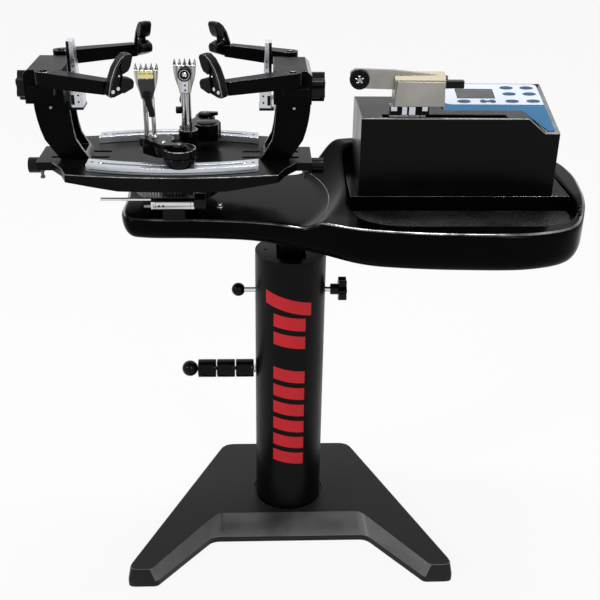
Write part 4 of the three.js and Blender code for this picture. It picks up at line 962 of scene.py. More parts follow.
@dataclass
class Stand:
    """Foot, column and the fittings on the column."""

    radius: float = 70 * MM
    wall: float = 3.5 * MM
    stripe_lift: float = 0.35 * MM
    stripe_low: float = 161 * MM
    stripe_high: float = 560 * MM
    stripe_count: int = 9
    stripe_pause: int = 3
    stripe_share: float = 0.7
    stripe_lean: float = -11 * MM
    stripe_arc: Sizes = (-119.0, -66.0)
    long_arc: Sizes = (-134.0, -56.0)
    long_lean: float = -26 * MM
    ball: float = 13.5 * MM
    ball_x: float = -103.5 * MM
    plunger_rod: float = 5.1 * MM
    lock_z: float = 536 * MM
    reel_z: float = 353.6 * MM
    nut: Sizes = mm(-73.4, -70.4, 9.2)
    stud: Sizes = mm(70.3, 80.4, 5.2)
    stripe_steps: int = 24
    nut_sides: int = 6
    roller_lip: float = 1.6 * MM
    roller_bore: float = 4.6 * MM
    lip_share: float = 0.3
    ball_neck_share: float = 1.3
    knob_crease: float = 45.0

    def build(self) -> None:
        """Build and dress every piece of the stand."""
        # The foot's upward chamfers take the lighter finish as a painted highlight.
        softened("base_casting", FOOT_COAT, ROUND.foot, 3, trim=PAINTED_CHAMFER_HIGHLIGHT, trim_faces=chamfer)
        self.build_column()
        self.build_stripes()
        self.build_reel()
        self.build_height_lock()
        self.build_plunger()

    def build_column(self) -> None:
        """Build the tube, its cap and the post."""
        softened("column_tube", COLUMN_COAT, ROUND.light, 2, SHARP_CREASE)
        softened("column_top_plate", COLUMN_COAT, ROUND.soft, 3, BLUNT_CREASE)
        softened("inner_post", COLUMN_COAT, ROUND.small)

    def stripe(self, bottom: float, height: float, arc: tuple[float, float], lean: float) -> Object:
        """Build one slanted bar that follows the column's face.

        Args:
            bottom: Height of its lower left corner.
            height: Height of the bar.
            arc: First and last angle round the column, in degrees.
            lean: Rise from its left to its right end.

        Returns:
            The bar.
        """
        start, end = (math.radians(angle) for angle in arc)
        steps = self.stripe_steps
        inner, outer = self.radius - self.wall / 2, self.radius + self.stripe_lift
        corners = []
        for step in range(steps + 1):
            share = step / steps
            angle = start + (end - start) * share
            rise = bottom + lean * share
            top = rise + height
            for reach, level in ((outer, rise), (outer, top), (inner, top), (inner, rise)):
                corners.append((reach * math.cos(angle), reach * math.sin(angle), level))
        return smoothed(mesh_piece("stripe", corners, band_faces(steps)), SHARP_CREASE)

    def build_stripes(self) -> None:
        """Build the row of slanted bars painted on the front of the column."""
        slots = self.stripe_count + 1
        pitch = (self.stripe_high - self.stripe_low) / slots
        height = pitch * self.stripe_share
        bars = []
        for index in range(slots):
            if index == self.stripe_count - self.stripe_pause:
                continue
            top = index == slots - 1
            arc, lean = (self.long_arc, self.long_lean) if top else (self.stripe_arc, self.stripe_lean)
            bars.append(self.stripe(self.stripe_low - lean / 2 + pitch * index, height, arc, lean))
        dressed(joined("column_stripes", bars), RED_PAINT, "stand")

    def build_reel(self) -> None:
        """Build the spindle with its ball and nut, and the three rollers."""
        softened("reel_spindle", GLOSS_PLASTIC, ROUND.light, 2, BLUNT_CREASE)
        start, end, radius = self.nut
        nut = rod_piece("reel_nut", "x", radius, (start, 0.0, self.reel_z), end - start, sides=self.nut_sides)
        dressed(rounded_edges(nut, ROUND.thin), POLISHED_STEEL, "stand")
        lip, bore = self.roller_lip, self.roller_bore
        bevel = lip * self.lip_share
        for index in (1, 2, 3):
            node = f"reel_roller_{index}"
            low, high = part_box(node)
            radius = (high.z - low.z) / 2
            length = high.x - low.x
            side = [(0.0, radius - lip), (bevel, radius - bevel), (lip, radius)]
            far_side = [(length - along, reach) for along, reach in reversed(side)]
            profile = [(0.0, bore), *side, *far_side, (length, bore)]
            roller = lathe_piece(f"{node}_dress", "x", (low.x, 0.0, self.reel_z), profile)
            dressed(roller, GLOSS_PLASTIC, NODE_BODY[node], node)

    def build_height_lock(self) -> None:
        """Build the star knob that clamps the height, with its bright stud."""
        softened("height_lock_knob", KNOB_PLASTIC, ROUND.soft, 3, self.knob_crease)
        start, end, radius = self.stud
        stud = rod_piece("height_lock_stud", "x", radius, (start, 0.0, self.lock_z), end - start)
        dressed(smoothed(stud, SHARP_CREASE), POLISHED_STEEL, NODE_BODY["height_lock_knob"])

    def build_plunger(self) -> None:
        """Build the plunger with its bright rod and dark ball."""
        body = NODE_BODY["index_plunger"]
        _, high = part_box("index_plunger")
        centre = (self.ball_x, 0.0, self.lock_z)
        rod = rod_piece("plunger_rod", "x", self.plunger_rod, centre, high.x - self.ball_x)
        dressed(rounded_edges(rod, ROUND.fine), POLISHED_STEEL, body, "index_plunger")
        profile = ball_profile(self.ball, self.plunger_rod * self.ball_neck_share)
        ball = lathe_piece("plunger_ball", "x", centre, [(-along, reach) for along, reach in profile])
        dressed(ball, GLOSS_PLASTIC, body)


@dataclass
class Casing:
    """Glossy casing with its tool tray, platform, shoulder and neck."""

    plan_shares: Outline = (
        (-1, 0), (-1, -0.323), (-0.958, -0.461), (-0.863, -0.507), (-0.527, -0.525), (-0.192, -0.581),
        (0.073, -0.742), (0.196, -0.885), (0.321, -0.954), (0.518, -1), (0.75, -0.986), (0.884, -0.83),
        (0.955, -0.461), (0.991, 0), (1, 0.372), (0.979, 0.745), (0.902, 0.957), (0.768, 1), (0.5, 1),
        (0.232, 1), (0.143, 0.915), (0.073, 0.8), (-0.192, 0.67), (-0.527, 0.606), (-0.863, 0.585),
        (-0.958, 0.532), (-1, 0.372))
    neck_reach: float = 313 * MM
    tray_reach: float = 560 * MM
    tray_front: float = 217 * MM
    tray_rear: float = 188 * MM
    neck_top: float = 730 * MM
    neck_bottom: float = 688 * MM
    tray_bottom: float = 671 * MM
    rim_front: float = 745 * MM
    rim_right: float = 758 * MM
    rim_left: float = 793 * MM
    clear_radius: float = 285 * MM
    hub_x: float = -214 * MM
    undercut: float = 18 * MM
    round_high: float = 30 * MM
    wall: float = 4 * MM
    outer_round: float = 9 * MM
    inner_round: float = 7 * MM
    foot_round: float = 9 * MM
    crease_reach: float = 12 * MM
    lean: float = 5 * MM
    hollow: Sizes = mm(104, 520, -174, 150)
    hollow_rounds: Sizes = mm(105, 105, 45, 45)
    floor: float = 725 * MM
    platform: float = 755 * MM
    step_y: float = -58 * MM
    bolt: Sizes = mm(-134, -46)
    painted_highlight_rows: tuple[int, int] = (15, 17)
    crease_span: Sizes = (-26.0, 26.0)
    crease_width: float = 0.9 * MM
    around: int = 324
    across: int = 76
    rises: dict[str, Sizes] = field(default_factory=lambda: {
        "left": mm(-140, 150), "right": mm(-175, -45), "bottom": mm(-100, 160)})
    washer: Sizes = mm(6.6, 6.2, 1.4)
    bolt_head: Sizes = mm(4.4, 6.5)
    bolt_sink: float = 0.5 * MM
    bolt_lift: float = 0.8 * MM
    dish_share: float = 1.6
    slope_step: float = 1e-4
    under_steps: int = 9
    side_shares: Sizes = (0.25, 0.5, 0.75)
    edge_steps: int = 7
    wall_steps: int = 6
    wall_shares: Sizes = (0.33, 0.66, 1.0)
    foot_steps: int = 6
    crease_steps: int = 60
    crease_section: Outline = (
        (-1, -0.6 * MM), (-0.5, 0.35 * MM), (0.5, 0.35 * MM), (1, -0.6 * MM))
    ridge_crease: float = 60.0
    outline_steps: int = 24
    floor_steps: int = 16

    def build(self) -> None:
        """Build and dress the casing, its mat and the frame inside."""
        shell = self.build_shell()
        floors = self.build_floors()
        for item in (SHELL_GLOSS, PAINTED_GLOSS_HIGHLIGHT):
            floors[0].data.materials.append(item.material())
        dressed(joined("casing_shell", [shell, *floors]), SHELL_GLOSS, "head", "body_shell", trim=PAINTED_GLOSS_HIGHLIGHT)
        softened("tray_mat", MAT_RUBBER, 0.8 * MM)
        painted("chassis_frame", FRAME_PAINT)
        self.build_crease()
        x, y = self.bolt
        top = float(self.top_height(np.array([x]), np.array([y]))[0])
        wide, narrow, thick = self.washer
        radius, height = self.bolt_head
        washer = rod_piece("washer", "z", wide, (x, y, top - self.bolt_sink), thick, narrow)
        head = bolt_piece("bolt", "z", radius, (x, y, top + self.bolt_lift), height)
        dressed(smoothed(joined("neck_bolt", [washer, head]), SHARP_CREASE), POLISHED_STEEL, "head")

    def plan_point(self, turn: float) -> Vector:
        """Give a point of the casing's outline on its rounded curve.

        Args:
            turn: Share of the way round, from 0 to 1.

        Returns:
            The point in the plan.
        """
        points = [Vector((sx * (self.neck_reach if sx < 0 else self.tray_reach),
                          sy * (self.tray_front if sy < 0 else self.tray_rear)))
                  for sx, sy in self.plan_shares]
        count = len(points)
        place = (turn % 1.0) * count
        index = int(place)
        weight = place - index
        p0, p1, p2, p3 = (points[(index + step) % count] for step in (-1, 0, 1, 2))
        d0, d1, d2 = ((b - a).length**0.5 for a, b in ((p0, p1), (p1, p2), (p2, p3)))
        t1 = ((p1 - p0) / d0 - (p2 - p0) / (d0 + d1) + (p2 - p1) / d1) * d1
        t2 = ((p2 - p1) / d1 - (p3 - p1) / (d1 + d2) + (p3 - p2) / d2) * d1
        return (p1 + t1 * weight + (3 * (p2 - p1) - 2 * t1 - t2) * weight**2
                + (2 * (p1 - p2) + t1 + t2) * weight**3)

    def top_height(self, x: np.ndarray, y: np.ndarray) -> np.ndarray:
        """Give the height of the casing's top over a place in the plan, with soft creases.

        Args:
            x: Places along the machine.
            y: Places across it.

        Returns:
            The heights.
        """
        left = smooth_share(y, *self.rises["left"]) * (self.rim_left - self.rim_front)
        right = smooth_share(y, *self.rises["right"]) * (self.rim_right - self.rim_front)
        share = smooth_share(x, self.hollow[0], self.tray_reach)
        rim = self.rim_front + left + (right - left) * share
        cone = self.neck_top + np.hypot(x - self.hub_x, y) - self.clear_radius
        dish = -blended_min(-cone, np.full_like(cone, -self.neck_top), self.crease_reach * self.dish_share)
        return blended_min(rim, dish, self.crease_reach)

    def build_shell(self) -> Object:
        """Build the outer skin from the bottom edge to the hollow's wall, and give it its thickness.

        Returns:
            The shell.
        """
        turns = np.arange(self.around) / self.around
        outer = np.array([self.plan_point(turn) for turn in turns])
        ahead = np.array([self.plan_point(turn + self.slope_step) - self.plan_point(turn - self.slope_step)
                          for turn in turns])
        ahead /= np.linalg.norm(ahead, axis=1)[:, None]
        inward = np.stack([-ahead[:, 1], ahead[:, 0]], axis=1)
        drop = self.tray_bottom - self.neck_bottom
        bottom = self.neck_bottom + smooth_share(outer[:, 0], *self.rises["bottom"]) * drop
        rings = []
        for angle in np.linspace(0.0, math.pi / 2, self.under_steps):
            place = outer + inward * self.undercut * (1 - math.sin(angle))
            rings.append(np.column_stack([place, bottom + self.round_high * (1 - math.cos(angle))]))
        top = self.top_height(outer[:, 0], outer[:, 1])
        low = bottom + self.round_high
        high = top - self.outer_round
        for share in self.side_shares:
            rings.append(np.column_stack([outer, low + (high - low) * share]))
        for angle in np.linspace(0.0, math.pi / 2, self.edge_steps):
            place = outer + inward * self.outer_round * (1 - math.cos(angle))
            rings.append(self.topped(place, self.outer_round * (1 - math.sin(angle))))
        start = outer + inward * self.outer_round
        inner, outward = self.hollow_ring(start)
        end = inner + outward * self.inner_round
        for share in np.linspace(0.0, 1.0, self.across)[1:-1]:
            rings.append(self.topped(start + (end - start) * share))
        for angle in np.linspace(0.0, math.pi / 2, self.wall_steps):
            place = end - outward * self.inner_round * math.sin(angle)
            rings.append(self.topped(place, self.inner_round * (1 - math.cos(angle))))
        foot = self.floor + self.foot_round
        last = rings[-1]
        for share in self.wall_shares:
            place = inner - outward * self.lean * share
            rings.append(np.column_stack([place, last[:, 2] + (foot - last[:, 2]) * share]))
        for angle in np.linspace(0.0, math.pi / 2, self.foot_steps)[1:]:
            place = inner - outward * (self.lean + self.foot_round * (1 - math.cos(angle)))
            level = self.floor + self.foot_round * (1 - math.sin(angle))
            rings.append(np.column_stack([place, np.full(self.around, level)]))
        shell = self.skin("casing_shell", rings)
        for item in (SHELL_GLOSS, PAINTED_GLOSS_HIGHLIGHT):
            shell.data.materials.append(item.material())
        # Two rows of the rim's outer rounding take the painted highlight.
        for index in range(self.painted_highlight_rows[0] * self.around, self.painted_highlight_rows[1] * self.around):
            shell.data.polygons[index].material_index = 1
        modified(shell, "SOLIDIFY", thickness=self.wall, offset=-1.0)
        return smoothed(shell, WIDE_CREASE)

    def topped(self, place: np.ndarray, depth: float = 0.0) -> np.ndarray:
        """Give the points at a depth below the casing's top, over places in the plan."""
        return np.column_stack([place, self.top_height(place[:, 0], place[:, 1]) - depth])

    def build_crease(self) -> None:
        """Build the fine moulded ridge where the shoulder rises from the neck, lighter than the shell as a
        painted highlight line.
        """
        angles = np.radians(np.linspace(*self.crease_span, self.crease_steps))
        way = np.column_stack([np.cos(angles), np.sin(angles)])
        middle = way * self.clear_radius + np.array([self.hub_x, 0.0])
        rings = [self.topped(middle + way * side * self.crease_width, -lift)
                 for side, lift in self.crease_section]
        count, sides = len(angles), len(rings)
        pairs = [(r * count, (r + 1) % sides * count) for r in range(sides)]
        faces = [(near + i, near + i + 1, far + i + 1, far + i)
                 for near, far in pairs for i in range(count - 1)]
        faces += [tuple(r * count + end for r in range(sides)) for end in (0, count - 1)]
        line = mesh_piece("shoulder_crease", np.concatenate(rings).tolist(), faces)
        dressed(smoothed(line, self.ridge_crease), PAINTED_GLOSS_HIGHLIGHT, "head")

    def hollow_ring(self, start: np.ndarray) -> tuple[np.ndarray, np.ndarray]:
        """Find the hollow's edge on the way from its middle to each point of the outer edge.

        Args:
            start: Points of the outer edge in the plan.

        Returns:
            The points on the hollow's edge, and the way out from it at each.
        """
        x0, x1, y0, y1 = self.hollow
        plan = [(x0, y0), (x1, y0), (x1, y1), (x0, y1)]
        corners = np.array(rounded_outline(plan, self.hollow_rounds, self.outline_steps))
        fine = np.linspace(0.0, 1.0, self.outline_steps, endpoint=False)[:, None]
        edge = np.concatenate([a + (b - a) * fine for a, b in zip(corners, np.roll(corners, -1, axis=0))])
        middle = np.array([(x0 + x1) / 2, (y0 + y1) / 2])
        aims = np.unwrap(np.arctan2(*(edge - middle).T[::-1]))
        order = np.argsort(aims)
        wanted = np.arctan2(*(start - middle).T[::-1])
        wanted = aims.min() + np.mod(wanted - aims.min(), math.tau)
        reach = np.interp(wanted, aims[order], np.linalg.norm(edge - middle, axis=1)[order], period=math.tau)
        ring = middle + np.column_stack([np.cos(wanted), np.sin(wanted)]) * reach[:, None]
        along = np.roll(ring, -1, axis=0) - np.roll(ring, 1, axis=0)
        along /= np.linalg.norm(along, axis=1)[:, None]
        return ring, np.stack([along[:, 1], -along[:, 0]], axis=1)

    def skin(self, name: str, rings: list[np.ndarray]) -> Object:
        """Make a mesh of faces between neighbouring closed rings.

        Args:
            name: Name of the piece.
            rings: Closed rings of corners, in order.

        Returns:
            The piece.
        """
        count = self.around
        faces = [(r + i, r + (i + 1) % count, r + count + (i + 1) % count, r + count + i)
                 for r in range(0, (len(rings) - 1) * count, count) for i in range(count)]
        return new_piece(name, np.concatenate(rings).tolist(), [], faces)

    def build_floors(self) -> list[Object]:
        """Build the platform with its step and the floor of the tool well.

        Returns:
            The two floors.
        """
        x0, x1, y0, y1 = self.hollow
        grow = self.wall / 2 - self.lean
        x0, x1, y0, y1 = x0 - grow, x1 + grow, y0 - grow, y1 + grow
        corners = [(x0, y0), (x1, y0), (x1, y1), (x0, y1)]
        plan = rounded_outline(corners, self.hollow_rounds, self.floor_steps)
        well = prism_piece("well_floor", plan, self.floor - self.wall, self.floor)
        deck = [(x, max(y, self.step_y)) for x, y in plan]
        deck = [point for index, point in enumerate(deck) if point != deck[index - 1]]
        raised = prism_piece("platform_floor", deck, self.floor - self.wall / 2, self.platform)
        # The platform's rounded edges take the painted highlight.
        for item in (SHELL_GLOSS, PAINTED_GLOSS_HIGHLIGHT):
            raised.data.materials.append(item.material())
        return [smoothed(well, SHARP_CREASE), rounded_edges(raised, ROUND.deck, 3, WIDE_CREASE, 1)]


@dataclass
class Studio:
    """Camera, floor and soft lights."""

    place: Sizes = mm(-61.58, -1702.557, 1375.005)
    yaw: float = 0.0478245
    pitch: float = 0.46896
    roll: float = 0.017304
    lens: float = 56.937
    floor_size: float = 14.0
    sensor: float = 36.0
    far: float = 100.0
    floor_grey: float = 0.7
    floor_glow: float = 0.9
    room_light: float = 0.55
    lamps: tuple[tuple[str, Point, Point, Point, float], ...] = (
        ("overhead_light", (0.1, 0.5, 3.0), (0.0, 0.0, 0.8), (1.6, 0.3), 44.0),
        ("left_light", (-2.6, -1.5, 2.3), (0.0, 0.0, 0.7), (0.4, 0.6), 32.0),
        ("front_light", (1.5, -2.9, 2.6), (0.0, 0.0, 0.6), (0.5, 0.3), 26.0))

    def build(self) -> None:
        """Set up everything round the object."""
        self.build_camera()
        self.build_floor()
        self.build_world()
        self.build_lights()
        bpy.context.scene.view_settings.view_transform = "Standard"

    def build_camera(self) -> None:
        """Stand the camera where the photograph was taken."""
        data = bpy.data.cameras.new("photo_camera")
        data.lens = self.lens
        data.sensor_width = self.sensor
        data.clip_end = self.far
        camera = bpy.data.objects.new("photo_camera", data)
        bpy.context.scene.collection.objects.link(camera)
        level = math.cos(self.pitch)
        forward = Vector((math.sin(self.yaw) * level, math.cos(self.yaw) * level, -math.sin(self.pitch)))
        right = Vector((math.cos(self.yaw), -math.sin(self.yaw), 0.0))
        up = right.cross(forward)
        rolled = right * math.cos(self.roll) + up * math.sin(self.roll)
        raised = up * math.cos(self.roll) - right * math.sin(self.roll)
        turn = Matrix((rolled, raised, -forward)).transposed().to_4x4()
        camera.matrix_world = Matrix.Translation(self.place) @ turn
        bpy.context.scene.camera = camera

    def build_floor(self) -> None:
        """Lay a pale floor under the object."""
        deselect_all()
        bpy.ops.mesh.primitive_plane_add(size=self.floor_size, location=(0.0, 0.0, 0.0))
        floor = bpy.context.object
        floor.name = "studio_floor"
        material = bpy.data.materials.new("studio_floor")
        material.use_nodes = True
        nodes, links = material.node_tree.nodes, material.node_tree.links
        nodes.clear()
        paint = nodes.new("ShaderNodeBsdfDiffuse")
        paint.inputs["Color"].default_value = (self.floor_grey, self.floor_grey, self.floor_grey, 1.0)
        glow = nodes.new("ShaderNodeEmission")
        glow.inputs["Strength"].default_value = 1.0
        mix = nodes.new("ShaderNodeMixShader")
        share = nodes.new("ShaderNodeMath")
        share.operation = "MULTIPLY"
        share.inputs[1].default_value = self.floor_glow
        out = nodes.new("ShaderNodeOutputMaterial")
        links.new(self.clear_rays(material.node_tree), share.inputs[0])
        links.new(share.outputs["Value"], mix.inputs["Fac"])
        links.new(paint.outputs["BSDF"], mix.inputs[1])
        links.new(glow.outputs["Emission"], mix.inputs[2])
        links.new(mix.outputs["Shader"], out.inputs["Surface"])
        floor.data.materials.append(material)
        floor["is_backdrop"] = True

    def clear_rays(self, tree: bpy.types.ShaderNodeTree) -> bpy.types.NodeSocket:
        """Build a value that is 1 for camera, transmission and glossy rays.

        Args:
            tree: Node tree that it is built in.

        Returns:
            The value's socket.
        """
        path = tree.nodes.new("ShaderNodeLightPath")
        value = path.outputs["Is Camera Ray"]
        for label in ("Is Transmission Ray", "Is Glossy Ray"):
            larger = tree.nodes.new("ShaderNodeMath")
            larger.operation = "MAXIMUM"
            tree.links.new(value, larger.inputs[0])
            tree.links.new(path.outputs[label], larger.inputs[1])
            value = larger.outputs["Value"]
        return value

    def build_world(self) -> None:
        """Light the room evenly, with a white surround for the camera, gloss and glass."""
        world = bpy.data.worlds.new("studio_world")
        bpy.context.scene.world = world
        world.use_nodes = True
        nodes, links = world.node_tree.nodes, world.node_tree.links
        nodes.clear()
        mix = nodes.new("ShaderNodeMixShader")
        out = nodes.new("ShaderNodeOutputWorld")
        for slot, strength in ((1, self.room_light), (2, 1.0)):
            white = nodes.new("ShaderNodeBackground")
            white.inputs["Strength"].default_value = strength
            white.inputs["Color"].default_value = (1.0, 1.0, 1.0, 1.0)
            links.new(white.outputs["Background"], mix.inputs[slot])
        links.new(self.clear_rays(world.node_tree), mix.inputs["Fac"])
        links.new(mix.outputs["Shader"], out.inputs["Surface"])

    def build_lights(self) -> None:
        """Hang the soft lights."""
        for lamp in self.lamps:
            self.lamp(*lamp)

    def lamp(self, name: str, place: Point, aim: Point, size: tuple[float, float], power: float) -> None:
        """Hang one soft light.

        Args:
            name: Name of the light.
            place: Where it hangs.
            aim: Point that it faces.
            size: Its width and height.
            power: Power in watts.
        """
        data = bpy.data.lights.new(name, "AREA")
        data.shape = "RECTANGLE"
        data.size, data.size_y = size
        data.energy = power
        light = bpy.data.objects.new(name, data)
        light.location = place
        light.rotation_euler = (Vector(aim) - Vector(place)).to_track_quat("-Z", "Y").to_euler()
        bpy.context.scene.collection.objects.link(light)


@dataclass
class Turntable:
    """Plate, rails, brake ring and the brake below."""

    centre_x: float = -214 * MM
    rail_radius: float = 497.5 * MM
    rail_middle: float = 394 * MM
    rail_top: float = 828.8 * MM
    slot_border: float = 62 * MM
    hole_x: float = 142 * MM
    screw_x: float = 127 * MM
    barrel: Sizes = mm(-250, -177, 11)
    lever_rod: Sizes = mm(-254.4, 766, 3)
    slot_half: float = 118 * MM
    rail_half: float = 146 * MM
    slot_floor: Sizes = mm(-3.9, 3.9, 822.7, 823.0)
    front_line: Sizes = mm(16.2, 16.65, 820.2, 821.3)
    teeth: int = 84
    tooth: Sizes = mm(78.2, 79.7, 761, 772.6)
    barrel_z: float = 757 * MM
    barrel_y: float = -102 * MM
    foot_half: float = 20 * MM
    under_screws: Outline = (mm(-455, -40), mm(21, -40))
    strip_steps: int = 48
    tooth_half: float = 1.5 * MM
    screw: Sizes = mm(4.2, 1.8)
    hole: Sizes = mm(2.6, 0.35)
    screw_sink: float = 0.2 * MM
    sleeve_bore: float = 4.4 * MM
    sleeve_near: Outline = mm_points((0, 0.5), (1, 0), (4, 0), (4.5, 0.5), (5, 0))
    sleeve_far: Outline = mm_points((7, 0), (6.5, 0.5), (6, 0), (1, 0), (0, 0.5))
    sleeve_holes: Sizes = mm(2, 0.1, 10.5, 18)
    stand_front: float = 9 * MM
    stand_rise: float = 3 * MM
    stub: Sizes = mm(2.9, 17, 4, 14)
    stop_stem: Sizes = mm(3, 1, 26)
    stop_head: Sizes = mm(4.6, -1, 4)
    stop_sides: int = 6

    def build(self) -> None:
        """Build and dress the turntable."""
        # The plate's upward edge roundings away from the slots carry a painted highlight.
        softened("turntable_plate", PLATE_COAT, ROUND.plate, 2, whole_faces=False, trim=PAINTED_CAST_HIGHLIGHT,
                 trim_faces=lambda way, place: ridge(way, place) and abs(place.y) > self.slot_border)
        softened("brake_ring", DARK_STEEL, ROUND.hair)
        for side in ("front", "rear"):
            # The rail's upper edge roundings are laid in polished steel as a painted highlight.
            softened(f"{side}_glide_rail", SILVER_ALLOY, ROUND.light, trim=POLISHED_STEEL, trim_faces=ridge)
            self.build_rail_screws(side)
            self.build_rail_lines(side)
        for side in ("left", "right"):
            softened(f"{side}_slide_knob", KNOB_PLASTIC, ROUND.small, 2, BLUNT_CREASE)
        self.build_brake()
        self.build_ring_teeth()
        self.build_under_screws()

    def rail_strip(self, sign: int, half: float, size: tuple[float, float, float, float]) -> Object:
        """Build a thin band that follows a rail.

        Args:
            sign: -1 for the front rail, 1 for the rear one.
            half: Half of the band's length along X.
            size: Inner and outer distance from the rail's middle line, then lower and upper level.

        Returns:
            The band.
        """
        steps = self.strip_steps
        inner, outer, low, high = size
        corners = []
        for step in range(steps + 1):
            across = half * (2 * step / steps - 1)
            for reach, level in ((outer, low), (outer, high), (inner, high), (inner, low)):
                y = sign * (math.sqrt((self.rail_radius + reach) ** 2 - across**2) - self.rail_middle)
                corners.append((self.centre_x + across, y, level))
        return mesh_piece("strip", corners, band_faces(steps))

    def build_rail_lines(self, side: str) -> None:
        """Build the floor of a rail's slot and the line along its front, both dark as painted shade.

        Args:
            side: Front or rear.
        """
        sign = -1 if side == "front" else 1
        body = NODE_BODY[f"{side}_glide_rail"]
        # The slot's floor is alloy darkened as painted shade.
        floor = self.rail_strip(sign, self.slot_half, self.slot_floor)
        floor.name = f"{side}_slot_floor"
        dressed(floor, SLOT_FLOOR_PAINTED_SHADE, body)
        # The line along the rail's front is painted shade.
        line = self.rail_strip(sign, self.rail_half, self.front_line)
        line.name = f"{side}_rail_line"
        dressed(line, RECESS_PAINTED_SHADE, body)

    def build_ring_teeth(self) -> None:
        """Build the upright teeth round the brake ring."""
        inner, outer, low, high = self.tooth
        teeth = []
        for index in range(self.teeth):
            tooth = box_piece("tooth", (inner, -self.tooth_half, low), (outer, self.tooth_half, high))
            turn = Matrix.Rotation(math.tau * index / self.teeth, 4, "Z")
            teeth.append(moved(tooth, Matrix.Translation((self.centre_x, 0.0, 0.0)) @ turn))
        dressed(joined("brake_ring_teeth", teeth), DIM_STEEL_PAINTED_REFLECTIONS, NODE_BODY["brake_ring"])

    def rail_seats(self, side: str, reach: float) -> list[tuple[float, float, float]]:
        """Give the two seats on a rail's top at a distance from its middle.

        Args:
            side: Front or rear.
            reach: Distance from the middle.

        Returns:
            Both seats.
        """
        sign = -1 if side == "front" else 1
        y = sign * (math.sqrt(self.rail_radius**2 - reach**2) - self.rail_middle)
        return [(self.centre_x + across * reach, y, self.rail_top - self.screw_sink) for across in (-1, 1)]

    def build_rail_screws(self, side: str) -> None:
        """Build the dowel holes and the socket screws at both ends of a rail.

        Args:
            side: Front or rear.
        """
        body = NODE_BODY[f"{side}_glide_rail"]
        radius, height = self.screw
        seats = self.rail_seats(side, self.screw_x)
        screws = [bolt_piece("screw", "z", radius, seat, height) for seat in seats]
        # The dowel holes are dark discs of painted shade.
        radius, height = self.hole
        seats = self.rail_seats(side, self.hole_x)
        holes = [rod_piece("hole", "z", radius, seat, height) for seat in seats]
        dressed(joined(f"{side}_rail_screws", screws), POLISHED_STEEL, body)
        dressed(joined(f"{side}_rail_holes", holes), RECESS_PAINTED_SHADE, body)

    def build_brake(self) -> None:
        """Build the bright barrel on its dark stand, its lever and its knob."""
        body = NODE_BODY["brake_barrel"]
        start, end, radius = self.barrel
        length = end - start
        near = [(along, radius - depth) for along, depth in self.sleeve_near]
        far = [(length - along, radius - depth) for along, depth in self.sleeve_far]
        profile = [(0.0, self.sleeve_bore), *near, *far, (length, self.sleeve_bore)]
        centre = (start, self.barrel_y, self.barrel_z)
        dressed(lathe_piece("brake_sleeve", "x", centre, profile), STEEL_PAINTED_BANDS, body, "brake_barrel")
        # The barrel's holes are dark discs of painted shade.
        size, sink, *reaches = self.sleeve_holes
        front = self.barrel_y - radius - sink
        seats = [(start + reach, front, self.barrel_z) for reach in reaches]
        holes = [rod_piece("hole", "y", size, seat, size) for seat in seats]
        dressed(joined("brake_sleeve_holes", holes), RECESS_PAINTED_SHADE, body)
        low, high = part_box("brake_barrel")
        near = (self.centre_x - self.foot_half, self.barrel_y - self.stand_front, low.z)
        far = (self.centre_x + self.foot_half, high.y, self.barrel_z + self.stand_rise)
        block = box_piece("brake_stand", near, far)
        dressed(rounded_edges(block, ROUND.soft, 3), JAW_PLASTIC, body)
        self.build_brake_lever()

    def build_brake_lever(self) -> None:
        """Build the brake's lever with its stub and rod, and its knob."""
        body = NODE_BODY["brake_lever"]
        softened("brake_lever", POLISHED_STEEL, ROUND.hair, 2, BLUNT_CREASE)
        radius, back, drop, length = self.stub
        seat = (self.barrel[0] - back, self.barrel_y, self.barrel_z - drop)
        stub = rod_piece("brake_stub", "x", radius, seat, length)
        dressed(rounded_edges(stub, ROUND.fine), DIM_STEEL_PAINTED_REFLECTIONS, body)
        inner, level, radius = self.lever_rod
        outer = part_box("brake_lever")[0].x
        rod = rod_piece("brake_lever_rod", "x", radius, (outer, self.barrel_y, level), inner - outer)
        dressed(rounded_edges(rod, ROUND.small, 3), POLISHED_STEEL, body)
        softened("brake_knob", KNOB_PLASTIC, ROUND.small, 2, BLUNT_CREASE)

    def build_under_screws(self) -> None:
        """Build the stop screws under both ends of the plate."""
        node = "turntable_plate"
        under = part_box(node)[0].z
        radius, lift, length = self.stop_stem
        head_radius, head_lift, head_length = self.stop_head
        pieces = []
        for x, y in self.under_screws:
            pieces.append(rod_piece("stem", "z", radius, (x, y, under + lift), length))
            pieces.append(rod_piece("head", "z", head_radius, (x, y, under + head_lift), head_length,
                                    sides=self.stop_sides))
        screws = joined("plate_stop_screws", pieces)
        dressed(rounded_edges(screws, ROUND.thin), DARK_STEEL, NODE_BODY[node])


@dataclass
class JawPlace:
    """Place of a jaw: its turn, the level of its middle plane, its facing and its body."""

    turn: Matrix
    centre: float
    way: Vector
    body: str
    least_front: float = -0.25

    def slab(self, name: str, outline: Outline, depth: float, width: float, finish: Finish,
             *replaced: str) -> None:
        """Build one layer of the jaw round its middle plane, with a painted highlight on the front edges of
        its rim.

        Args:
            name: Name of the layer.
            outline: Corner pairs along the jaw and upwards.
            depth: Thickness of the layer.
            width: Width of its rounded edges.
            finish: Its surface finish.
            *replaced: Solids that it stands for.
        """
        piece = moved(prism_piece(name, outline, self.centre - depth / 2, self.centre + depth / 2), self.turn)
        for item in (finish, PAINTED_EDGE_HIGHLIGHT):
            piece.data.materials.append(item.material())
        rounded_edges(piece, width, 3, slot=int(name.endswith("_rim")))
        # Only rim roundings that face the front keep the painted highlight.
        for polygon in piece.data.polygons:
            if polygon.normal.y > self.least_front or abs(polygon.normal.dot(self.way)) > EDGE_TILT:
                polygon.material_index = 0
        dressed(piece, finish, self.body, *replaced, trim=PAINTED_EDGE_HIGHLIGHT)


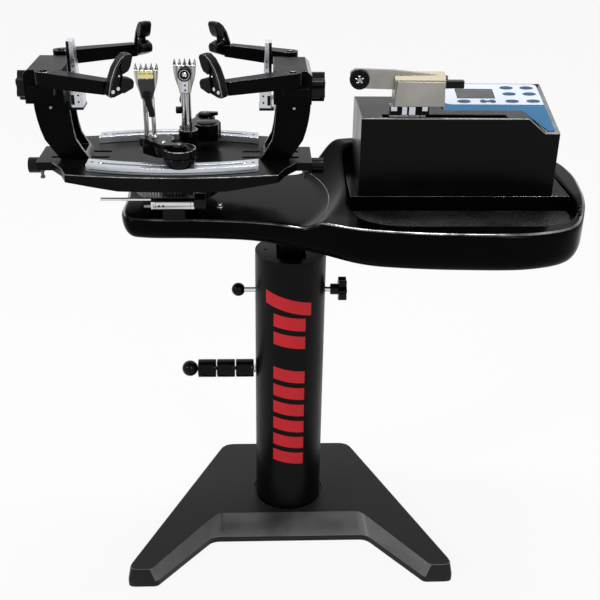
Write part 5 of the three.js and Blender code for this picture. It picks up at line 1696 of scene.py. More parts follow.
@dataclass
class RacketHolder:
    """Tower of one side with its head, arms, jaws and support."""

    side: str
    rib_share: float = 0.5
    pad_shares: tuple[Outline, ...] = (
        ((0.08, 0.03), (0.3, 0.1), (0.4, 0.21), (0.5, 0.43), (0.44, 0.5), (0.24, 0.5), (0.08, 0.4),
         (0.02, 0.2)),
        ((0.06, -0.03), (0.44, -0.1), (0.5, -0.18), (0.46, -0.32), (0.1, -0.42), (-0.04, -0.4), (0.0, -0.16)))
    rim_shares: Outline = (
        (0.24, 0.5), (0.02, 0.4), (-0.2, 0.2), (-0.38, -0.08), (-0.48, -0.34), (-0.5, -0.44), (-0.42, -0.5),
        (-0.36, -0.43), (-0.4, -0.32), (-0.3, -0.1), (-0.14, 0.14), (0.06, 0.33), (0.22, 0.43))
    rim_thick_share: float = 0.82
    bolt_shares: Outline = ((-0.1, -0.3), (-0.31, -0.36))
    pin_share: Sizes = (-0.04, 0.0)
    tower_bolt: Sizes = mm(-430, 912)
    blade_inset: float = 7 * MM
    blade_reach: float = 22 * MM
    strip_width: float = 5 * MM
    head_edge: float = 975 * MM
    foot_strip: Sizes = mm(26, 0.6, 0.3, 4.5)
    support_slot: Sizes = mm(17, 3, 0.4, 2, 9, 27)
    edge_strip: Sizes = mm(0.4, 2, 44, 1)
    edge_dots: Sizes = mm(1.5, 4, 56, 66, 76, 86)
    foot_dots: Sizes = mm(1.8, -7, 14, 26)
    dot_proud: float = 0.3 * MM
    dot_depth: float = 1 * MM
    dot_sides: int = 20
    cheek_bolt: Sizes = mm(2.9, 0.2, 1.8)
    corner_reach: float = 1 * MM
    bolt_radius: float = 3.3 * MM
    pin_radius: float = 1.7 * MM
    bolt_proud: float = 1.6 * MM

    def build(self) -> None:
        """Build and dress the tower side."""
        # The upward roundings of the tower, and those of its head's top, carry a painted highlight.
        softened(f"{self.side}_tower", TOWER_COAT, ROUND.tower, 2, trim=PAINTED_CAST_HIGHLIGHT, trim_faces=tilted)
        softened(f"{self.side}_tower_head", ARM_COAT, ROUND.tower, 2, trim=PAINTED_CAST_HIGHLIGHT,
                 trim_faces=lambda way, place: tilted(way, place) and place.z > self.head_edge)
        softened(f"{self.side}_arm_knob", KNOB_PLASTIC, ROUND.plain, 2, BLUNT_CREASE)
        self.build_support()
        for end in ("front", "rear"):
            # Each arm's upper edge roundings carry a painted highlight.
            softened(f"{self.side}_{end}_arm", ARM_COAT, ROUND.hair, 2, trim=PAINTED_ARM_HIGHLIGHT, trim_faces=ridge)
            self.build_jaw(f"{self.side}_{end}_jaw")
        self.build_bolts()

    def build_bolts(self) -> None:
        """Build the small screws on both cheeks of the tower."""
        low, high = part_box(f"{self.side}_tower")
        x, z = self.tower_bolt
        if self.side == "right":
            x = 2 * Turntable.centre_x - x
        radius, sink, height = self.cheek_bolt
        pieces = [bolt_piece("bolt", "y", radius, (x, low.y + sink, z), -height),
                  bolt_piece("bolt", "y", radius, (x, high.y - sink, z), height)]
        dressed(joined(f"{self.side}_tower_bolts", pieces), DIM_STEEL_PAINTED_REFLECTIONS, NODE_BODY[f"{self.side}_tower"])

    def build_support(self) -> None:
        """Build the bright support, with black strips and dots of painted shade at its outer edge, foot, slot
        and holes.
        """
        node = f"{self.side}_head_support"
        softened(node, BRIGHT_ALLOY, ROUND.light)
        low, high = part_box(node)
        inner, inward = (high.x, 1) if self.side == "left" else (low.x, -1)
        # A black band along the foot's bottom, a black box in the slot and a black strip by the blade's outer
        # edge are painted shade.
        back, proud, drop, rise = self.foot_strip
        ends = (inner - inward * back, inner + inward * proud)
        foot = box_piece("strip", (min(ends), low.y - proud, low.z - drop),
                         (max(ends), high.y + proud, low.z + rise))
        back, half, proud, depth, bottom, top = self.support_slot
        middle = inner - inward * back
        slot = box_piece("slot", (middle - half, low.y - proud, low.z + bottom),
                         (middle + half, low.y + depth, low.z + top))
        front = low.y + self.blade_inset
        outer = inner - inward * self.blade_reach
        proud, depth, bottom, drop = self.edge_strip
        ends = (outer, outer + inward * self.strip_width)
        strip = box_piece("edge", (min(ends), front - proud, low.z + bottom),
                          (max(ends), front + depth, high.z - drop))
        strips = joined(f"{node}_strips", [foot, slot, strip])
        dressed(rounded_edges(strips, ROUND.fine), JAW_PLASTIC, NODE_BODY[node])
        # The dark dots are holes filled in with painted shade.
        dots = []
        rows = ((self.edge_dots, ends[1], front), (self.foot_dots, inner, low.y))
        for (radius, along, *rises), x, y in rows:
            for rise in rises:
                seat = (x + inward * along, y - self.dot_proud, low.z + rise)
                dots.append(rod_piece("dot", "y", radius, seat, self.dot_depth, sides=self.dot_sides))
        dressed(joined(f"{node}_dots", dots), RECESS_PAINTED_SHADE, NODE_BODY[node])

    def build_jaw(self, node: str) -> None:
        """Build a jaw as a thin rib with a rim, two pads, a pin and bolts.

        Args:
            node: Name of the jaw's solid.
        """
        shape = merged_copy(node, "jaw_shape")
        face = max(shape.data.polygons, key=lambda polygon: polygon.area)
        way = Vector(face.normal)
        points = [shape.data.vertices[index].co.copy() for index in face.vertices]
        level = way.dot(points[0])
        thick = level - min(way.dot(vertex.co) for vertex in shape.data.vertices)
        bpy.data.objects.remove(shape)
        along = Vector((way.y, -way.x, 0.0))
        low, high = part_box(node)
        upper = sum(along.dot(point) for point in points if point.z > high.z - self.corner_reach)
        lower = sum(along.dot(point) for point in points if point.z < low.z + self.corner_reach)
        if upper < lower:
            along = -along
        reach = [along.dot(point) for point in points]
        middle = ((min(reach) + max(reach)) / 2, (low.z + high.z) / 2)
        size = (max(reach) - min(reach), high.z - low.z)
        turn = Matrix((along, Vector((0, 0, 1)), along.cross(Vector((0, 0, 1))))).transposed().to_4x4()
        centre = level - thick / 2 if turn.col[2].xyz.dot(way) > 0 else thick / 2 - level
        jaw = JawPlace(turn, centre, way, NODE_BODY[node])
        rib = [(along.dot(point), point.z) for point in points]
        jaw.slab(f"{node}_rib", rib, thick * self.rib_share, ROUND.light, JAW_PLASTIC, node)
        for index, outline in enumerate(self.pad_shares):
            jaw.slab(f"{node}_pad_{index}", lined_up(outline, middle, size), thick, ROUND.pad, PAD_RUBBER)
        rim = lined_up(self.rim_shares, middle, size)
        jaw.slab(f"{node}_rim", rim, thick * self.rim_thick_share, ROUND.plain, JAW_PLASTIC)
        half = thick * self.rib_share / 2 + self.bolt_proud
        places = [(place, self.bolt_radius) for place in self.bolt_shares]
        places.append((self.pin_share, self.pin_radius))
        pieces = []
        for place, radius in places:
            spot = lined_up([place], middle, size)[0]
            pieces.append(rod_piece("bolt", "z", radius, (*spot, centre - half), half * 2))
        bolts = moved(joined(f"{node}_bolts", pieces), turn)
        dressed(rounded_edges(bolts, ROUND.small), POLISHED_STEEL, NODE_BODY[node])


@dataclass
class StringClamp:
    """One string clamp with its base, arm and post."""

    end: str
    teeth: int = 5
    cup_reaches: dict[str, Sizes] = field(default_factory=lambda: {
        "front": mm(24, 28.5), "rear": mm(26.5, 25.5)})
    eye_reaches: dict[str, float] = field(default_factory=lambda: {"front": 28.8 * MM, "rear": 19 * MM})
    cap_reaches: dict[str, float] = field(default_factory=lambda: {"front": 13 * MM, "rear": 14 * MM})
    grip_reaches: dict[str, float] = field(default_factory=lambda: {"front": 31 * MM, "rear": 25 * MM})
    shoulder: dict[str, Sizes] = field(default_factory=lambda: {
        "front": mm(-234, -48, 22), "rear": mm(-191, 8, 18)})
    post_rounds: dict[str, float] = field(default_factory=lambda: {"front": 9 * MM, "rear": 13 * MM})
    web_low: float = 831.6 * MM
    drum: Sizes = mm(-160, 53, 26)
    drum_lobes: int = 9
    stud_place: Sizes = mm(-229, -80)
    base_height: float = 18.6 * MM
    cup_step: float = 4 * MM
    cup_tongue: float = 3 * MM
    cup_bevel: float = 1 * MM
    cup_flare: Outline = ((3 * MM, 0.35), (9 * MM, 0.85))
    cup_rim: Sizes = mm(3, 1.4)
    cup_stud: float = 5.7 * MM
    eye_bore: float = 6.2 * MM
    eye_foot: Outline = mm_points((0.2, 1.5), (1.8, 0))
    eye_rim: Outline = mm_points((1.5, 0), (0.4, 1), (0.4, 2.2), (3, 3.2))
    web_sink: float = 0.4 * MM
    ring_insets: Sizes = mm(0.4, 1.8)
    ring_section: Outline = mm_points((0, -1), (0, 0.3), (1.1, 0.1), (1.1, -1), (0, -1))
    ring_sink: float = 1.2 * MM
    drum_steps: int = 144
    lobe_depth: float = 0.9 * MM
    drum_sink: float = 0.1 * MM
    drum_clearance: Sizes = mm(3, 5, 20)
    clearance_sides: int = 96
    drum_cap_shares: Outline = ((0.0, 0.0), (0.0, 0.74), (2.4 * MM, 0.72), (3.4 * MM, 0.6), (3.8 * MM, 0.0))
    drum_cap_sink: float = 1 * MM
    cap_foot: Outline = mm_points((0.2, 1), (1, 0))
    cap_dome: Outline = ((0.5, 0.0), (0.8, 2 * MM), (0.95, 6 * MM))
    cap_middle_share: float = 0.9
    handle_halves: Sizes = mm(6, 5)
    handle_rounds: Sizes = mm(1, 4, 4, 1)
    handle_steps: int = 6
    cap_screw: Sizes = mm(3.6, 1.4, 2.6)
    stud: Sizes = mm(3.6, 0.4, 5.5)
    post_places: dict[str, Sizes] = field(default_factory=lambda: {
        "front": mm(-262, -40), "rear": mm(-195, 25)})
    post_rods: dict[str, tuple[tuple[Point, Outline], ...]] = field(default_factory=lambda: {
        "front": ((mm(0, 0), mm_points((0, 4.2))), (mm(13, 1), mm_points((0, 6.4), (4, 5.6), (6, 3.8)))),
        "rear": ((mm(0, 0), mm_points((0, 10), (9, 10), (9.3, 9.4), (9.8, 9.4))),)})
    rod_entry: float = 2 * MM
    post_lug: Sizes = mm(6.5, 19, 893, 10)
    post_pin: float = 4.1 * MM
    head_halves: Outline = (
        (10 * MM, 0.0), (12.5 * MM, 0.22), (17.6 * MM, 0.52), (19.6 * MM, 0.72), (20.5 * MM, 1.0))
    teeth_height: float = 10 * MM
    head_depths: Sizes = mm(0.4, 9.4)
    tooth_pitch: float = 9.1 * MM
    tooth_depth: float = 2.9 * MM
    tooth_parts: Outline = mm_points((2.5, -1, 5, 2.1), (2.1, 4, 6, 0.5))
    tooth_sides: int = 20
    face_depths: Sizes = mm(-10, -9.2)
    insert_half: float = 13 * MM
    insert_levels: Outline = mm_points((1, 4.5), (6.5, 13.5))
    face_halves: Sizes = mm(9, 14.5)
    face_levels: Sizes = mm(3, 27, 15)
    spine: Outline = mm_points((-5.5, 8.4, 1), (5.5, 9.6, 24))
    spine_holes: Sizes = mm(1.8, 8.6, 1.2, 6, 15)
    lever_lean: float = 7 * MM
    lever_ends: Sizes = mm(4, 2.6)
    lever_foot: Outline = mm_points((-4.8, 8), (-4.5, 0), (5.5, 0), (6.2, 6))
    lever_tip: Outline = mm_points((6, 4), (5, 0), (-5, 0), (-6, 4))
    lever_depths: Sizes = mm(-19, -12.4)
    lever_barrel: Sizes = mm(4.8, -6.5, -15.4, 6, 13)
    knob_middle: Outline = mm_points((-1, 0), (-1, 5), (0.8, 4.6), (1.8, 2.6), (2.2, 0))
    knob_ring: Outline = mm_points((-0.5, 8), (-0.5, 9.6), (0.7, 9.2), (0.7, 8.4))
    knob_steps: tuple[int, int] = (32, 40)

    def build(self) -> None:
        """Build and dress the clamp."""
        self.build_base()
        softened(f"{self.end}_swivel_arm", GLOSS_PLASTIC, ROUND.soft, 3)
        self.build_arm_trim()
        self.build_post()
        self.build_heads()
        self.build_lever()
        self.build_knob()

    def build_base(self) -> None:
        """Build the flared cup of the base, with its stud and top ring."""
        node = f"{self.end}_clamp_base"
        low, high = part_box(node)
        centre = ((low.x + high.x) / 2, (low.y + high.y) / 2, low.z)
        foot, top = self.cup_reaches[self.end]
        step, bevel = self.cup_step, self.cup_bevel
        rise = step + self.base_height
        height = high.z - low.z
        drop, lip = self.cup_rim
        flare = [(step + along, foot + (top - foot) * share) for along, share in self.cup_flare]
        profile = [(0.0, 0.0), (0.0, self.cup_tongue), (step, self.cup_tongue), (step, foot - bevel),
                   (step + bevel, foot), *flare, (rise - drop, top), (rise - lip, top - bevel),
                   (rise - lip, self.cup_stud), (height, self.cup_stud), (height, 0.0)]
        dressed(lathe_piece(f"{node}_cup", "z", centre, profile), GLOSS_PLASTIC, NODE_BODY[node], node)
        self.build_arm_ends(Vector(centre).xy)

    def build_arm_ends(self, centre: Vector) -> None:
        """Build the arm's round end over the cup, its deep shoulder by the post and their bright rims.

        Args:
            centre: Middle of the base in the plan.
        """
        low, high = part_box(f"{self.end}_swivel_arm")
        body = NODE_BODY[f"{self.end}_swivel_arm"]
        reach = self.eye_reaches[self.end]
        thick = high.z - low.z
        foot = [(level, reach - inset) for level, inset in self.eye_foot]
        rim = [(thick - level, reach - inset) for level, inset in self.eye_rim]
        inside = [(rim[-1][0], self.eye_bore), (foot[0][0], self.eye_bore)]
        disc = [inside[1], *foot, *rim, *inside]
        x, y, spread = self.shoulder[self.end]
        outline = round_hull([(x, y, spread), (*self.axis(), self.post_rounds[self.end])])
        web = prism_piece("web", outline, self.web_low, high.z - self.web_sink)
        pieces = [lathe_piece("eye", "z", (*centre, low.z), disc, crease=KEEN_CREASE),
                  rounded_edges(web, ROUND.tower, 3)]
        if self.end == "rear":
            pieces.append(self.drum_piece(centre, high.z))
        dressed(joined(f"{self.end}_arm_eye", pieces), GLOSS_PLASTIC, body)
        rings = []
        for spot, edge, inset in zip((centre, (x, y)), (reach, spread), self.ring_insets):
            section = [(level, edge - inset + out) for level, out in self.ring_section]
            seat = (*spot, high.z - self.ring_sink)
            rings.append(lathe_piece("ring", "z", seat, section, crease=KEEN_CREASE))
        dressed(joined(f"{self.end}_arm_rings", rings), STEEL_PAINTED_STREAKS, body)
        self.build_cap(centre)

    def drum_piece(self, centre: Vector, top: float) -> Object:
        """Build the lobed grip that stands on the rear arm.

        Args:
            centre: Middle of the base in the plan.
            top: Height of the arm's top.

        Returns:
            The grip.
        """
        x, y, reach = self.drum
        outline = []
        for step in range(self.drum_steps):
            angle = math.tau * step / self.drum_steps
            lobe = reach + self.lobe_depth * math.cos(self.drum_lobes * angle)
            outline.append((x + math.cos(angle) * lobe, y + math.sin(angle) * lobe))
        grip = prism_piece("grip", outline, self.web_low, top - self.drum_sink)
        gap, drop, length = self.drum_clearance
        around = self.cup_reaches["rear"][0] + gap
        seat = (*centre, self.web_low - drop)
        carved(grip, rod_piece("clearance", "z", around, seat, length, sides=self.clearance_sides))
        rounded_edges(grip, ROUND.grip, 3, WIDE_CREASE)
        profile = [(rise, reach * share) for rise, share in self.drum_cap_shares]
        cap = lathe_piece("cap", "z", (x, y, top - self.drum_cap_sink), profile, crease=KEEN_CREASE)
        return joined("grip", [grip, cap])

    def build_cap(self, centre: Vector) -> None:
        """Build the lock lever's round cap with its grip and its screw.

        Args:
            centre: Middle of the base in the plan.
        """
        node = f"{self.end}_lock_lever"
        low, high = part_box(node)
        thick = high.z - low.z
        tip = high.x if self.end == "rear" else low.x
        way = 1 if tip > centre.x else -1
        reach = self.cap_reaches[self.end]
        grip = self.grip_reaches[self.end]
        foot = [(level, reach - inset) for level, inset in self.cap_foot]
        dome = [(thick * share, reach - inset) for share, inset in self.cap_dome]
        profile = [(foot[0][0], 0.0), *foot, *dome, (thick * self.cap_middle_share, 0.0)]
        wide, narrow = self.handle_halves
        corners = [(0, -wide), (grip, -narrow), (grip, narrow), (0, wide)]
        outline = rounded_outline(corners, self.handle_rounds, self.handle_steps)
        plan = [(centre.x + way * x, centre.y + way * y) for x, y in outline]
        handle = prism_piece("handle", plan, low.z + foot[0][0], high.z)
        pieces = [lathe_piece("cap", "z", (*centre, low.z), profile, crease=KEEN_CREASE),
                  rounded_edges(handle, ROUND.soft, 3)]
        dressed(joined(f"{node}_cap", pieces), GLOSS_PLASTIC, NODE_BODY[node], node)
        radius, sink, height = self.cap_screw
        screw = bolt_piece(f"{node}_screw", "z", radius, (*centre, high.z - sink), height)
        dressed(screw, DIM_STEEL_PAINTED_REFLECTIONS, NODE_BODY[node])

    def build_arm_trim(self) -> None:
        """Build the bright stud on the front swivel arm."""
        node = f"{self.end}_swivel_arm"
        if self.end == "rear":
            return
        radius, sink, height = self.stud
        seat = (*self.stud_place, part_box(node)[1].z - sink)
        dressed(bolt_piece(f"{node}_stud", "z", radius, seat, height), POLISHED_STEEL, NODE_BODY[node])

    def axis(self) -> Sizes:
        """Give the place of the post's axis in the plan."""
        return self.post_places[self.end]

    def facing(self) -> Matrix:
        """Give the turn and shift from the clamp head's own frame to its place.

        Returns:
            The matrix.
        """
        angle = 0.0 if self.end == "front" else math.pi
        low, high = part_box(f"{self.end}_clamp_jaw")
        place = ((low.x + high.x) / 2, self.axis()[1], 0.0)
        return Matrix.Translation(place) @ Matrix.Rotation(angle, 4, "Z")

    def build_post(self) -> None:
        """Build the bright rods of the post, with their collars."""
        node = f"{self.end}_clamp_post"
        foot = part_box(node)[0].z
        arm_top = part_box(f"{self.end}_swivel_arm")[1].z
        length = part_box(f"{self.end}_clamp_jaw")[0].z + self.rod_entry - arm_top
        x, y = self.axis()
        rods = []
        for (right, back), collar in self.post_rods[self.end]:
            profile = [(0.0, 0.0), *collar, (length, collar[-1][1]), (length, 0.0)]
            rods.append(lathe_piece("rod", "z", (x + right, y + back, arm_top), profile))
        if self.end == "rear":
            radius, left, level, reach = self.post_lug
            lug = rod_piece("post_lug", "x", radius, (x - left, y, level), reach)
            dressed(rounded_edges(lug, ROUND.soft, 3), KNOB_PLASTIC, NODE_BODY[node])
        pin = rod_piece("pin", "z", self.post_pin, (x, y, foot), arm_top - foot)
        dressed(joined(f"{node}_rods", [*rods, pin]), STEEL_PAINTED_STREAKS, NODE_BODY[node], node)

    def head_outline(self, bottom: float, top: float) -> list[tuple[float, float]]:
        """Give the tapered outline of a clamp head between two heights."""
        right = [(half, bottom + (top - bottom) * share) for half, share in self.head_halves]
        return [*right, *((-u, v) for u, v in reversed(right))]

    def build_heads(self) -> None:
        """Build both halves of the head with their teeth, inserts and faces."""
        low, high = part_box(f"{self.end}_clamp_jaw")
        top = high.z - self.teeth_height
        for node, side in ((f"{self.end}_clamp_post", 1), (f"{self.end}_clamp_jaw", -1)):
            depths = [side * depth for depth in self.head_depths]
            plate = prism_piece("plate", self.head_outline(low.z, top), min(depths), max(depths), "y")
            pieces = [rounded_edges(plate, ROUND.clamp, 3)]
            for index in range(self.teeth):
                x = (index - (self.teeth - 1) / 2) * self.tooth_pitch
                for radius, lift, length, end in self.tooth_parts:
                    seat = (x, side * self.tooth_depth, top + lift)
                    pieces.append(rod_piece("tooth", "z", radius, seat, length, end, self.tooth_sides))
            head = moved(smoothed(joined(f"{node}_head", pieces)), self.facing())
            replaced = () if side == 1 else (node,)
            dressed(head, STEEL_PAINTED_STREAKS, NODE_BODY[node], *replaced)
            if side == 1:
                self.build_spine(node, low.z)
        self.build_face(f"{self.end}_clamp_jaw", low.z, top)

    def build_face(self, node: str, low: float, top: float) -> None:
        """Build the inserts and the smooth face on the jaw's half of the head.

        Args:
            node: Name of the jaw's solid.
            low: Height of the head's lower edge.
            top: Height of its upper edge.
        """
        front, back = self.face_depths
        half = self.insert_half
        strips = [box_piece("strip", (-half, front, top - far), (half, back, top - near))
                  for near, far in self.insert_levels]
        insert = rounded_edges(joined(f"{node}_inserts", strips), ROUND.thin)
        dressed(moved(insert, self.facing()), BRASS, NODE_BODY[node])
        narrow, wide = self.face_halves
        foot, waist, drop = self.face_levels
        outline = [(-narrow, low + foot), (narrow, low + foot), (wide, low + waist), (wide, top - drop),
                   (-wide, top - drop), (-wide, low + waist)]
        plate = prism_piece(f"{node}_face", outline, front, back, "y")
        dressed(moved(rounded_edges(plate, ROUND.fine), self.facing()), DARK_FACE, NODE_BODY[node])

    def build_spine(self, node: str, low: float) -> None:
        """Build the bright spine with its two holes on the post's half of the head.

        Args:
            node: Name of the post's solid.
            low: Height of the head's lower edge.
        """
        radius, front, depth, *rises = self.spine_holes
        # The spine's holes are dark discs of painted shade.
        holes = [rod_piece("hole", "y", radius, (0.0, front, low + rise), depth) for rise in rises]
        corners = [(x, y, low + rise) for x, y, rise in self.spine]
        spine = rounded_edges(box_piece(f"{node}_spine", *corners), ROUND.fine)
        dressed(moved(spine, self.facing()), BRIGHT_ALLOY, NODE_BODY[node])
        dressed(moved(joined(f"{node}_holes", holes), self.facing()), RECESS_PAINTED_SHADE, NODE_BODY[node])

    def build_lever(self) -> None:
        """Build the tapered lever that opens the head."""
        node = f"{self.end}_clamp_lever"
        low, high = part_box(node)
        lift, sink = self.lever_ends
        foot = [(across + self.lever_lean, low.z + lift + rise) for across, rise in self.lever_foot]
        tip = [(across, high.z - sink - drop) for across, drop in self.lever_tip]
        outline = [*foot[1:], *tip, foot[0]]
        blade = prism_piece(f"{node}_blade", outline, *self.lever_depths, "y")
        radius, start, middle, drop, length = self.lever_barrel
        barrel = rod_piece("barrel", "x", radius, (start, middle, high.z - drop), length)
        lever = rounded_edges(joined(f"{node}_blade", [blade, barrel]), ROUND.soft, 3)
        dressed(moved(lever, self.facing()), KNOB_PLASTIC, NODE_BODY[node], node)

    def build_knob(self) -> None:
        """Build the adjusting knob with its bright centre."""
        node = f"{self.end}_clamp_knob"
        softened(node, KNOB_PLASTIC, ROUND.plain, 3, BLUNT_CREASE)
        low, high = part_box(node)
        jaw_low, jaw_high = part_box(f"{self.end}_clamp_jaw")
        face, out = (high.y, 1) if self.end == "front" else (low.y, -1)
        seat = ((jaw_low.x + jaw_high.x) / 2, face, (low.z + high.z) / 2)
        pieces = []
        for outline, steps in zip((self.knob_middle, self.knob_ring), self.knob_steps):
            profile = [(out * along, reach) for along, reach in outline]
            pieces.append(lathe_piece("round", "y", seat, profile, steps))
        dressed(joined(f"{node}_centre", pieces), POLISHED_STEEL, NODE_BODY[node])


@dataclass
class Tensioner:
    """Case with its control panel and string gripper."""

    panel_x: float = 281 * MM
    panel_y: float = 5 * MM
    panel_z: float = 892.92 * MM
    slope: float = 32 / 113
    width: float = 194 * MM
    depth: float = 107.2 * MM
    tail: float = 58.2 * MM
    fold_x: float = 152.5 * MM
    chamfer_x: float = 181 * MM
    white_front: float = 31.5 * MM
    key_size: Sizes = mm(12.5, 5.2)
    key_places: Outline = (
        mm(133, 92), mm(172, 92), mm(134.5, 69.5), mm(173, 69.5),
        mm(43.5, 42), mm(135, 43), mm(175.3, 43.5))
    twin_key: Sizes = mm(89, 42.5)
    window: Sizes = mm(33.4, 104, 54, 87)
    dot_ring: float = 6 * MM
    dot_count: int = 5
    crown: Outline = mm_points((-43.2, 967), (-20.6, 977.2))
    crown_skin: float = 1.8 * MM
    border: Sizes = mm(124, 455, -50)
    border_rise: float = 0.15
    border_turn: float = -0.2
    oval_steps: int = 40
    sheet_rounds: Sizes = mm(1, 1, 2, 5, 12, 2)
    sheet_thick: float = 1.6 * MM
    sheet_steps: int = 6
    field_inset: float = 0.8 * MM
    field_rounds: Sizes = mm(22, 0.5, 12, 1)
    field_levels: Sizes = mm(1.2, 1.8)
    field_steps: int = 10
    window_line: float = 1 * MM
    border_levels: Sizes = mm(1.4, 2.1)
    glass_levels: Sizes = mm(1.6, 2.3)
    key_rim: float = 1.1 * MM
    rim_levels: Sizes = mm(1.6, 2.2, 0.2)
    cap_levels: Sizes = mm(1.8, 2.9, 0.5)
    twin_share: float = 0.7
    twin_rim_shares: Sizes = (1.6, 0.6)
    bridge_shares: Sizes = (0.6, 0.4)
    bridge_levels: Sizes = mm(1.8, 2.8)
    plate_cuts: Sizes = mm(2, 1, 3)
    crown_insets: Sizes = mm(0.6, 0.4)
    bracket: Outline = mm_points((238, 952), (280, 952), (280, 967.4), (238, 970.4))
    bracket_depths: Sizes = mm(-7.4, -4.8)
    # Corners of the black slab of painted shade under the gripper's carriage.
    shade: Outline = mm_points((172, -48.6, 905.5), (243, -47.4, 920.8))
    feet: Outline = mm_points((174, 185, 913), (194, 203, 906), (206.5, 218, 906), (230, 240, 913))
    feet_depths: Sizes = mm(-49.2, -38)
    feet_top: float = 920.8 * MM
    wheel_face: Outline = (
        (1.2 * MM, 0.0), (1.2 * MM, 0.66), (0.2 * MM, 0.7), (0.0, 0.9), (0.6 * MM, 0.98), (1.6 * MM, 1.0))
    groove_shares: Outline = ((0.4, 0.9), (0.6, 0.9))
    wheel_back: float = 1 * MM
    wheel_back_share: float = 0.96
    wheel_hub: float = 4.4 * MM
    dot_turn: float = 0.3
    dot_seat: float = 1.2 * MM
    dome: Outline = mm_points((-0.8, 0), (-0.6, 0.9), (0, 1.6), (0.3, 1.6), (0.3, 0))
    dome_steps: int = 20

    def on_border(self, way: Vector, place: Vector) -> bool:
        """Tell whether a face lies on the rounding of the case's outer top edges.

        Args:
            way: The face's normal.
            place: Its middle.

        Returns:
            Whether it does.
        """
        left, right, front = self.border
        outside = place.x < left or place.x > right or place.y < front
        turned = min(way.x, way.y) < self.border_turn
        return self.border_rise < way.z < EDGE_TILT and outside and turned

    def build(self) -> None:
        """Build and dress the tensioner."""
        # The case's outer top edge roundings that face left or front carry a painted highlight.
        softened("tensioner_case", CASE_COAT, ROUND.case, 3, whole_faces=False, trim=PAINTED_EDGE_HIGHLIGHT,
                 trim_faces=self.on_border)
        painted("tension_drive", DIM_STEEL_PAINTED_REFLECTIONS)
        softened("power_inlet", KNOB_PLASTIC, ROUND.thin)
        self.build_panel()
        self.build_gripper()
        self.build_roller()

    def on_panel(self, piece: Object) -> Object:
        """Lay a piece that was built flat onto the tilted panel.

        Args:
            piece: The flat piece.

        Returns:
            The same piece, in its place.
        """
        tilt = math.atan(self.slope)
        place = Matrix.Translation((self.panel_x, self.panel_y, self.panel_z)) @ Matrix.Rotation(tilt, 4, "X")
        return moved(piece, place)

    def oval(self, centre: Point, size: Point, levels: Sequence[float]) -> Object:
        """Build an oval key or rim that lies flat, a little narrower at its top.

        Args:
            centre: Its middle on the panel.
            size: Half of its width and of its depth.
            levels: Its lower and upper level, and the height and inset of its edge.

        Returns:
            The oval.
        """
        low, high, dome = levels
        steps = self.oval_steps
        turns = [math.tau * step / steps for step in range(steps)]
        rings = ((0.0, low), (0.0, high - dome), (dome, high))
        corners = [(centre[0] + math.cos(turn) * (size[0] - inset),
                    centre[1] + math.sin(turn) * (size[1] - inset), level)
                   for inset, level in rings for turn in turns]
        faces = [tuple(range(steps))[::-1], tuple(range(2 * steps, len(corners)))]
        faces += [(r + i, r + (i + 1) % steps, r + steps + (i + 1) % steps, r + steps + i)
                  for r in (0, steps) for i in range(steps)]
        return mesh_piece("oval", corners, faces)

    def build_panel(self) -> None:
        """Build the overlay in its two colours, the display window and the keys."""
        body = NODE_BODY["control_panel"]
        outline = [(0, 0), (self.fold_x, 0), (self.chamfer_x, -self.tail), (self.width, -self.tail),
                   (self.width, self.depth), (0, self.depth)]
        plan = rounded_outline(outline, self.sheet_rounds, self.sheet_steps)
        sheet = rounded_edges(prism_piece("panel_sheet", plan, 0.0, self.sheet_thick), ROUND.hair)
        dressed(self.on_panel(sheet), OVERLAY_BLUE, body, "control_panel")
        left, right, rear = self.field_inset, self.width - self.field_inset, self.depth - self.field_inset
        white = [(left, self.white_front), (right, self.white_front), (right, rear), (left, rear)]
        plan = rounded_outline(white, self.field_rounds, self.field_steps)
        dressed(self.on_panel(prism_piece("panel_field", plan, *self.field_levels)), OVERLAY_WHITE, body)
        self.build_window(body)
        self.build_keys(body)

    def build_window(self, body: str) -> None:
        """Build the display window with its thin frame.

        Args:
            body: Name of the body that it rides on.
        """
        x0, x1, y0, y1 = self.window
        line = self.window_line
        low, high = self.border_levels
        border = box_piece("display_border", (x0 - line, y0 - line, low), (x1 + line, y1 + line, high))
        dressed(self.on_panel(rounded_edges(border, ROUND.sheet)), JAW_PLASTIC, body)
        low, high = self.glass_levels
        glass = box_piece("display_glass", (x0, y0, low), (x1, y1, high))
        dressed(self.on_panel(rounded_edges(glass, ROUND.film)), DISPLAY, body)

    def build_keys(self, body: str) -> None:
        """Build the oval keys and their paler rims, and the twin key for up and down.

        Args:
            body: Name of the body that they ride on.
        """
        wide, deep = self.key_size
        rim = self.key_rim
        rims, caps = [], []
        for place in self.key_places:
            rims.append(self.oval(place, (wide + rim, deep + rim), self.rim_levels))
            caps.append(self.oval(place, (wide, deep), self.cap_levels))
        x, y = self.twin_key
        outer, inner = self.twin_rim_shares
        for side in (-1, 1):
            spot = (x + side * wide * self.twin_share, y)
            rims.append(self.oval(spot, (deep + rim * outer, deep + rim), self.rim_levels))
            caps.append(self.oval(spot, (deep + rim * inner, deep), self.cap_levels))
        across, back = wide * self.bridge_shares[0], deep * self.bridge_shares[1]
        low, high = self.bridge_levels
        caps.append(box_piece("bridge", (x - across, y - back, low), (x + across, y + back, high)))
        dressed(self.on_panel(joined("key_rims", rims)), KEY_RIM, body)
        dressed(self.on_panel(smoothed(joined("key_caps", caps), SHARP_CREASE)), KEY_BLUE, body)

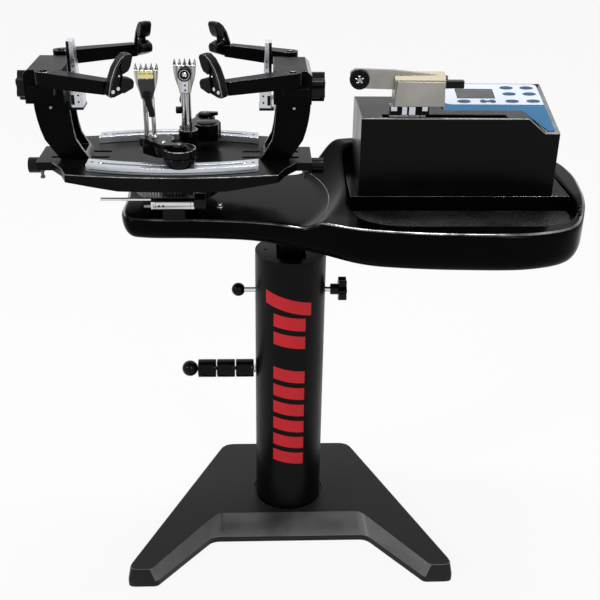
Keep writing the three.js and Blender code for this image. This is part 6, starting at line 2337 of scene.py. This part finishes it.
    def build_gripper(self) -> None:
        """Build the gripper with its crown, front plate, feet and handle."""
        softened("gripper_carriage", GROUND_STEEL, ROUND.small)
        softened("gripper_handle", KNOB_PLASTIC, ROUND.deck, 4)
        low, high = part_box("gripper_plate")
        right_cut, drop, left_cut = self.plate_cuts
        outline = [(low.x, low.z), (high.x, low.z), (high.x - right_cut, high.z - drop),
                   (low.x + left_cut, high.z)]
        plate = rounded_edges(prism_piece("gripper_face", outline, low.y, high.y, "y"), ROUND.plain, 3)
        dressed(plate, GROUND_STEEL, NODE_BODY["gripper_plate"], "gripper_plate")
        body = NODE_BODY["gripper_carriage"]
        (front, foot), (back, top) = self.crown
        left, right = low.x + self.crown_insets[0], high.x - self.crown_insets[1]
        rim = [(left, front, foot), (right, front, foot), (right, back, top), (left, back, top)]
        corners = [*rim, *((x, y, z - self.crown_skin) for x, y, z in rim)]
        sides = [(i, (i + 1) % 4, (i + 1) % 4 + 4, i + 4) for i in range(4)]
        crown = mesh_piece("gripper_crown", corners, [(0, 1, 2, 3), (4, 5, 6, 7), *sides])
        dressed(rounded_edges(crown, ROUND.fine), CROWN_STEEL, body)
        bracket = prism_piece("gripper_bracket", self.bracket, *self.bracket_depths, "y")
        dressed(rounded_edges(bracket, ROUND.light), GROUND_STEEL, body)
        # A black slab under the carriage, between its feet, is painted shade.
        dressed(box_piece("gripper_shade", *self.shade), RECESS_PAINTED_SHADE, body)
        front, back = self.feet_depths
        feet = [box_piece("foot", (start, front, level), (end, back, self.feet_top))
                for start, end, level in self.feet]
        dressed(rounded_edges(joined("gripper_feet", feet), ROUND.small), SILVER_ALLOY, body)

    def build_roller(self) -> None:
        """Build the guide roller with its groove, hub and dimples."""
        node = "guide_roller"
        low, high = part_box(node)
        radius = (high.z - low.z) / 2
        x, z = (low.x + high.x) / 2, (low.z + high.z) / 2
        depth = high.y - low.y
        face = [(along, radius * share) for along, share in self.wheel_face]
        groove = [(depth * along, radius * share) for along, share in self.groove_shares]
        profile = [*face, *groove, (depth - self.wheel_back, radius), (depth, radius * self.wheel_back_share),
                   (depth, self.wheel_hub), (depth / 2, self.wheel_hub), (depth / 2, 0.0)]
        wheel = lathe_piece(f"{node}_wheel", "y", (x, low.y, z), profile)
        dressed(wheel, GLOSS_PLASTIC, NODE_BODY[node], node)
        dots = []
        for index in range(self.dot_count):
            angle = math.tau * (index + self.dot_turn) / self.dot_count
            across, up = math.cos(angle) * self.dot_ring, math.sin(angle) * self.dot_ring
            place = (x + across, low.y + self.dot_seat, z + up)
            dots.append(lathe_piece("dot", "y", place, self.dome, self.dome_steps))
        dressed(joined(f"{node}_dots", dots), POLISHED_STEEL, NODE_BODY[node])


def main() -> None:
    """Build the machine, sub-assembly by sub-assembly."""
    logging.basicConfig(level=logging.INFO, format="%(message)s")
    Studio().build()
    Stand().build()
    Casing().build()
    Turntable().build()
    for side in ("left", "right"):
        RacketHolder(side).build()
    for end in ("front", "rear"):
        StringClamp(end).build()
    Tensioner().build()
    bounds = [[list(corner) for corner in box] for box in (CAD_BOX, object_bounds())]


if __name__ == "__main__":
    main()
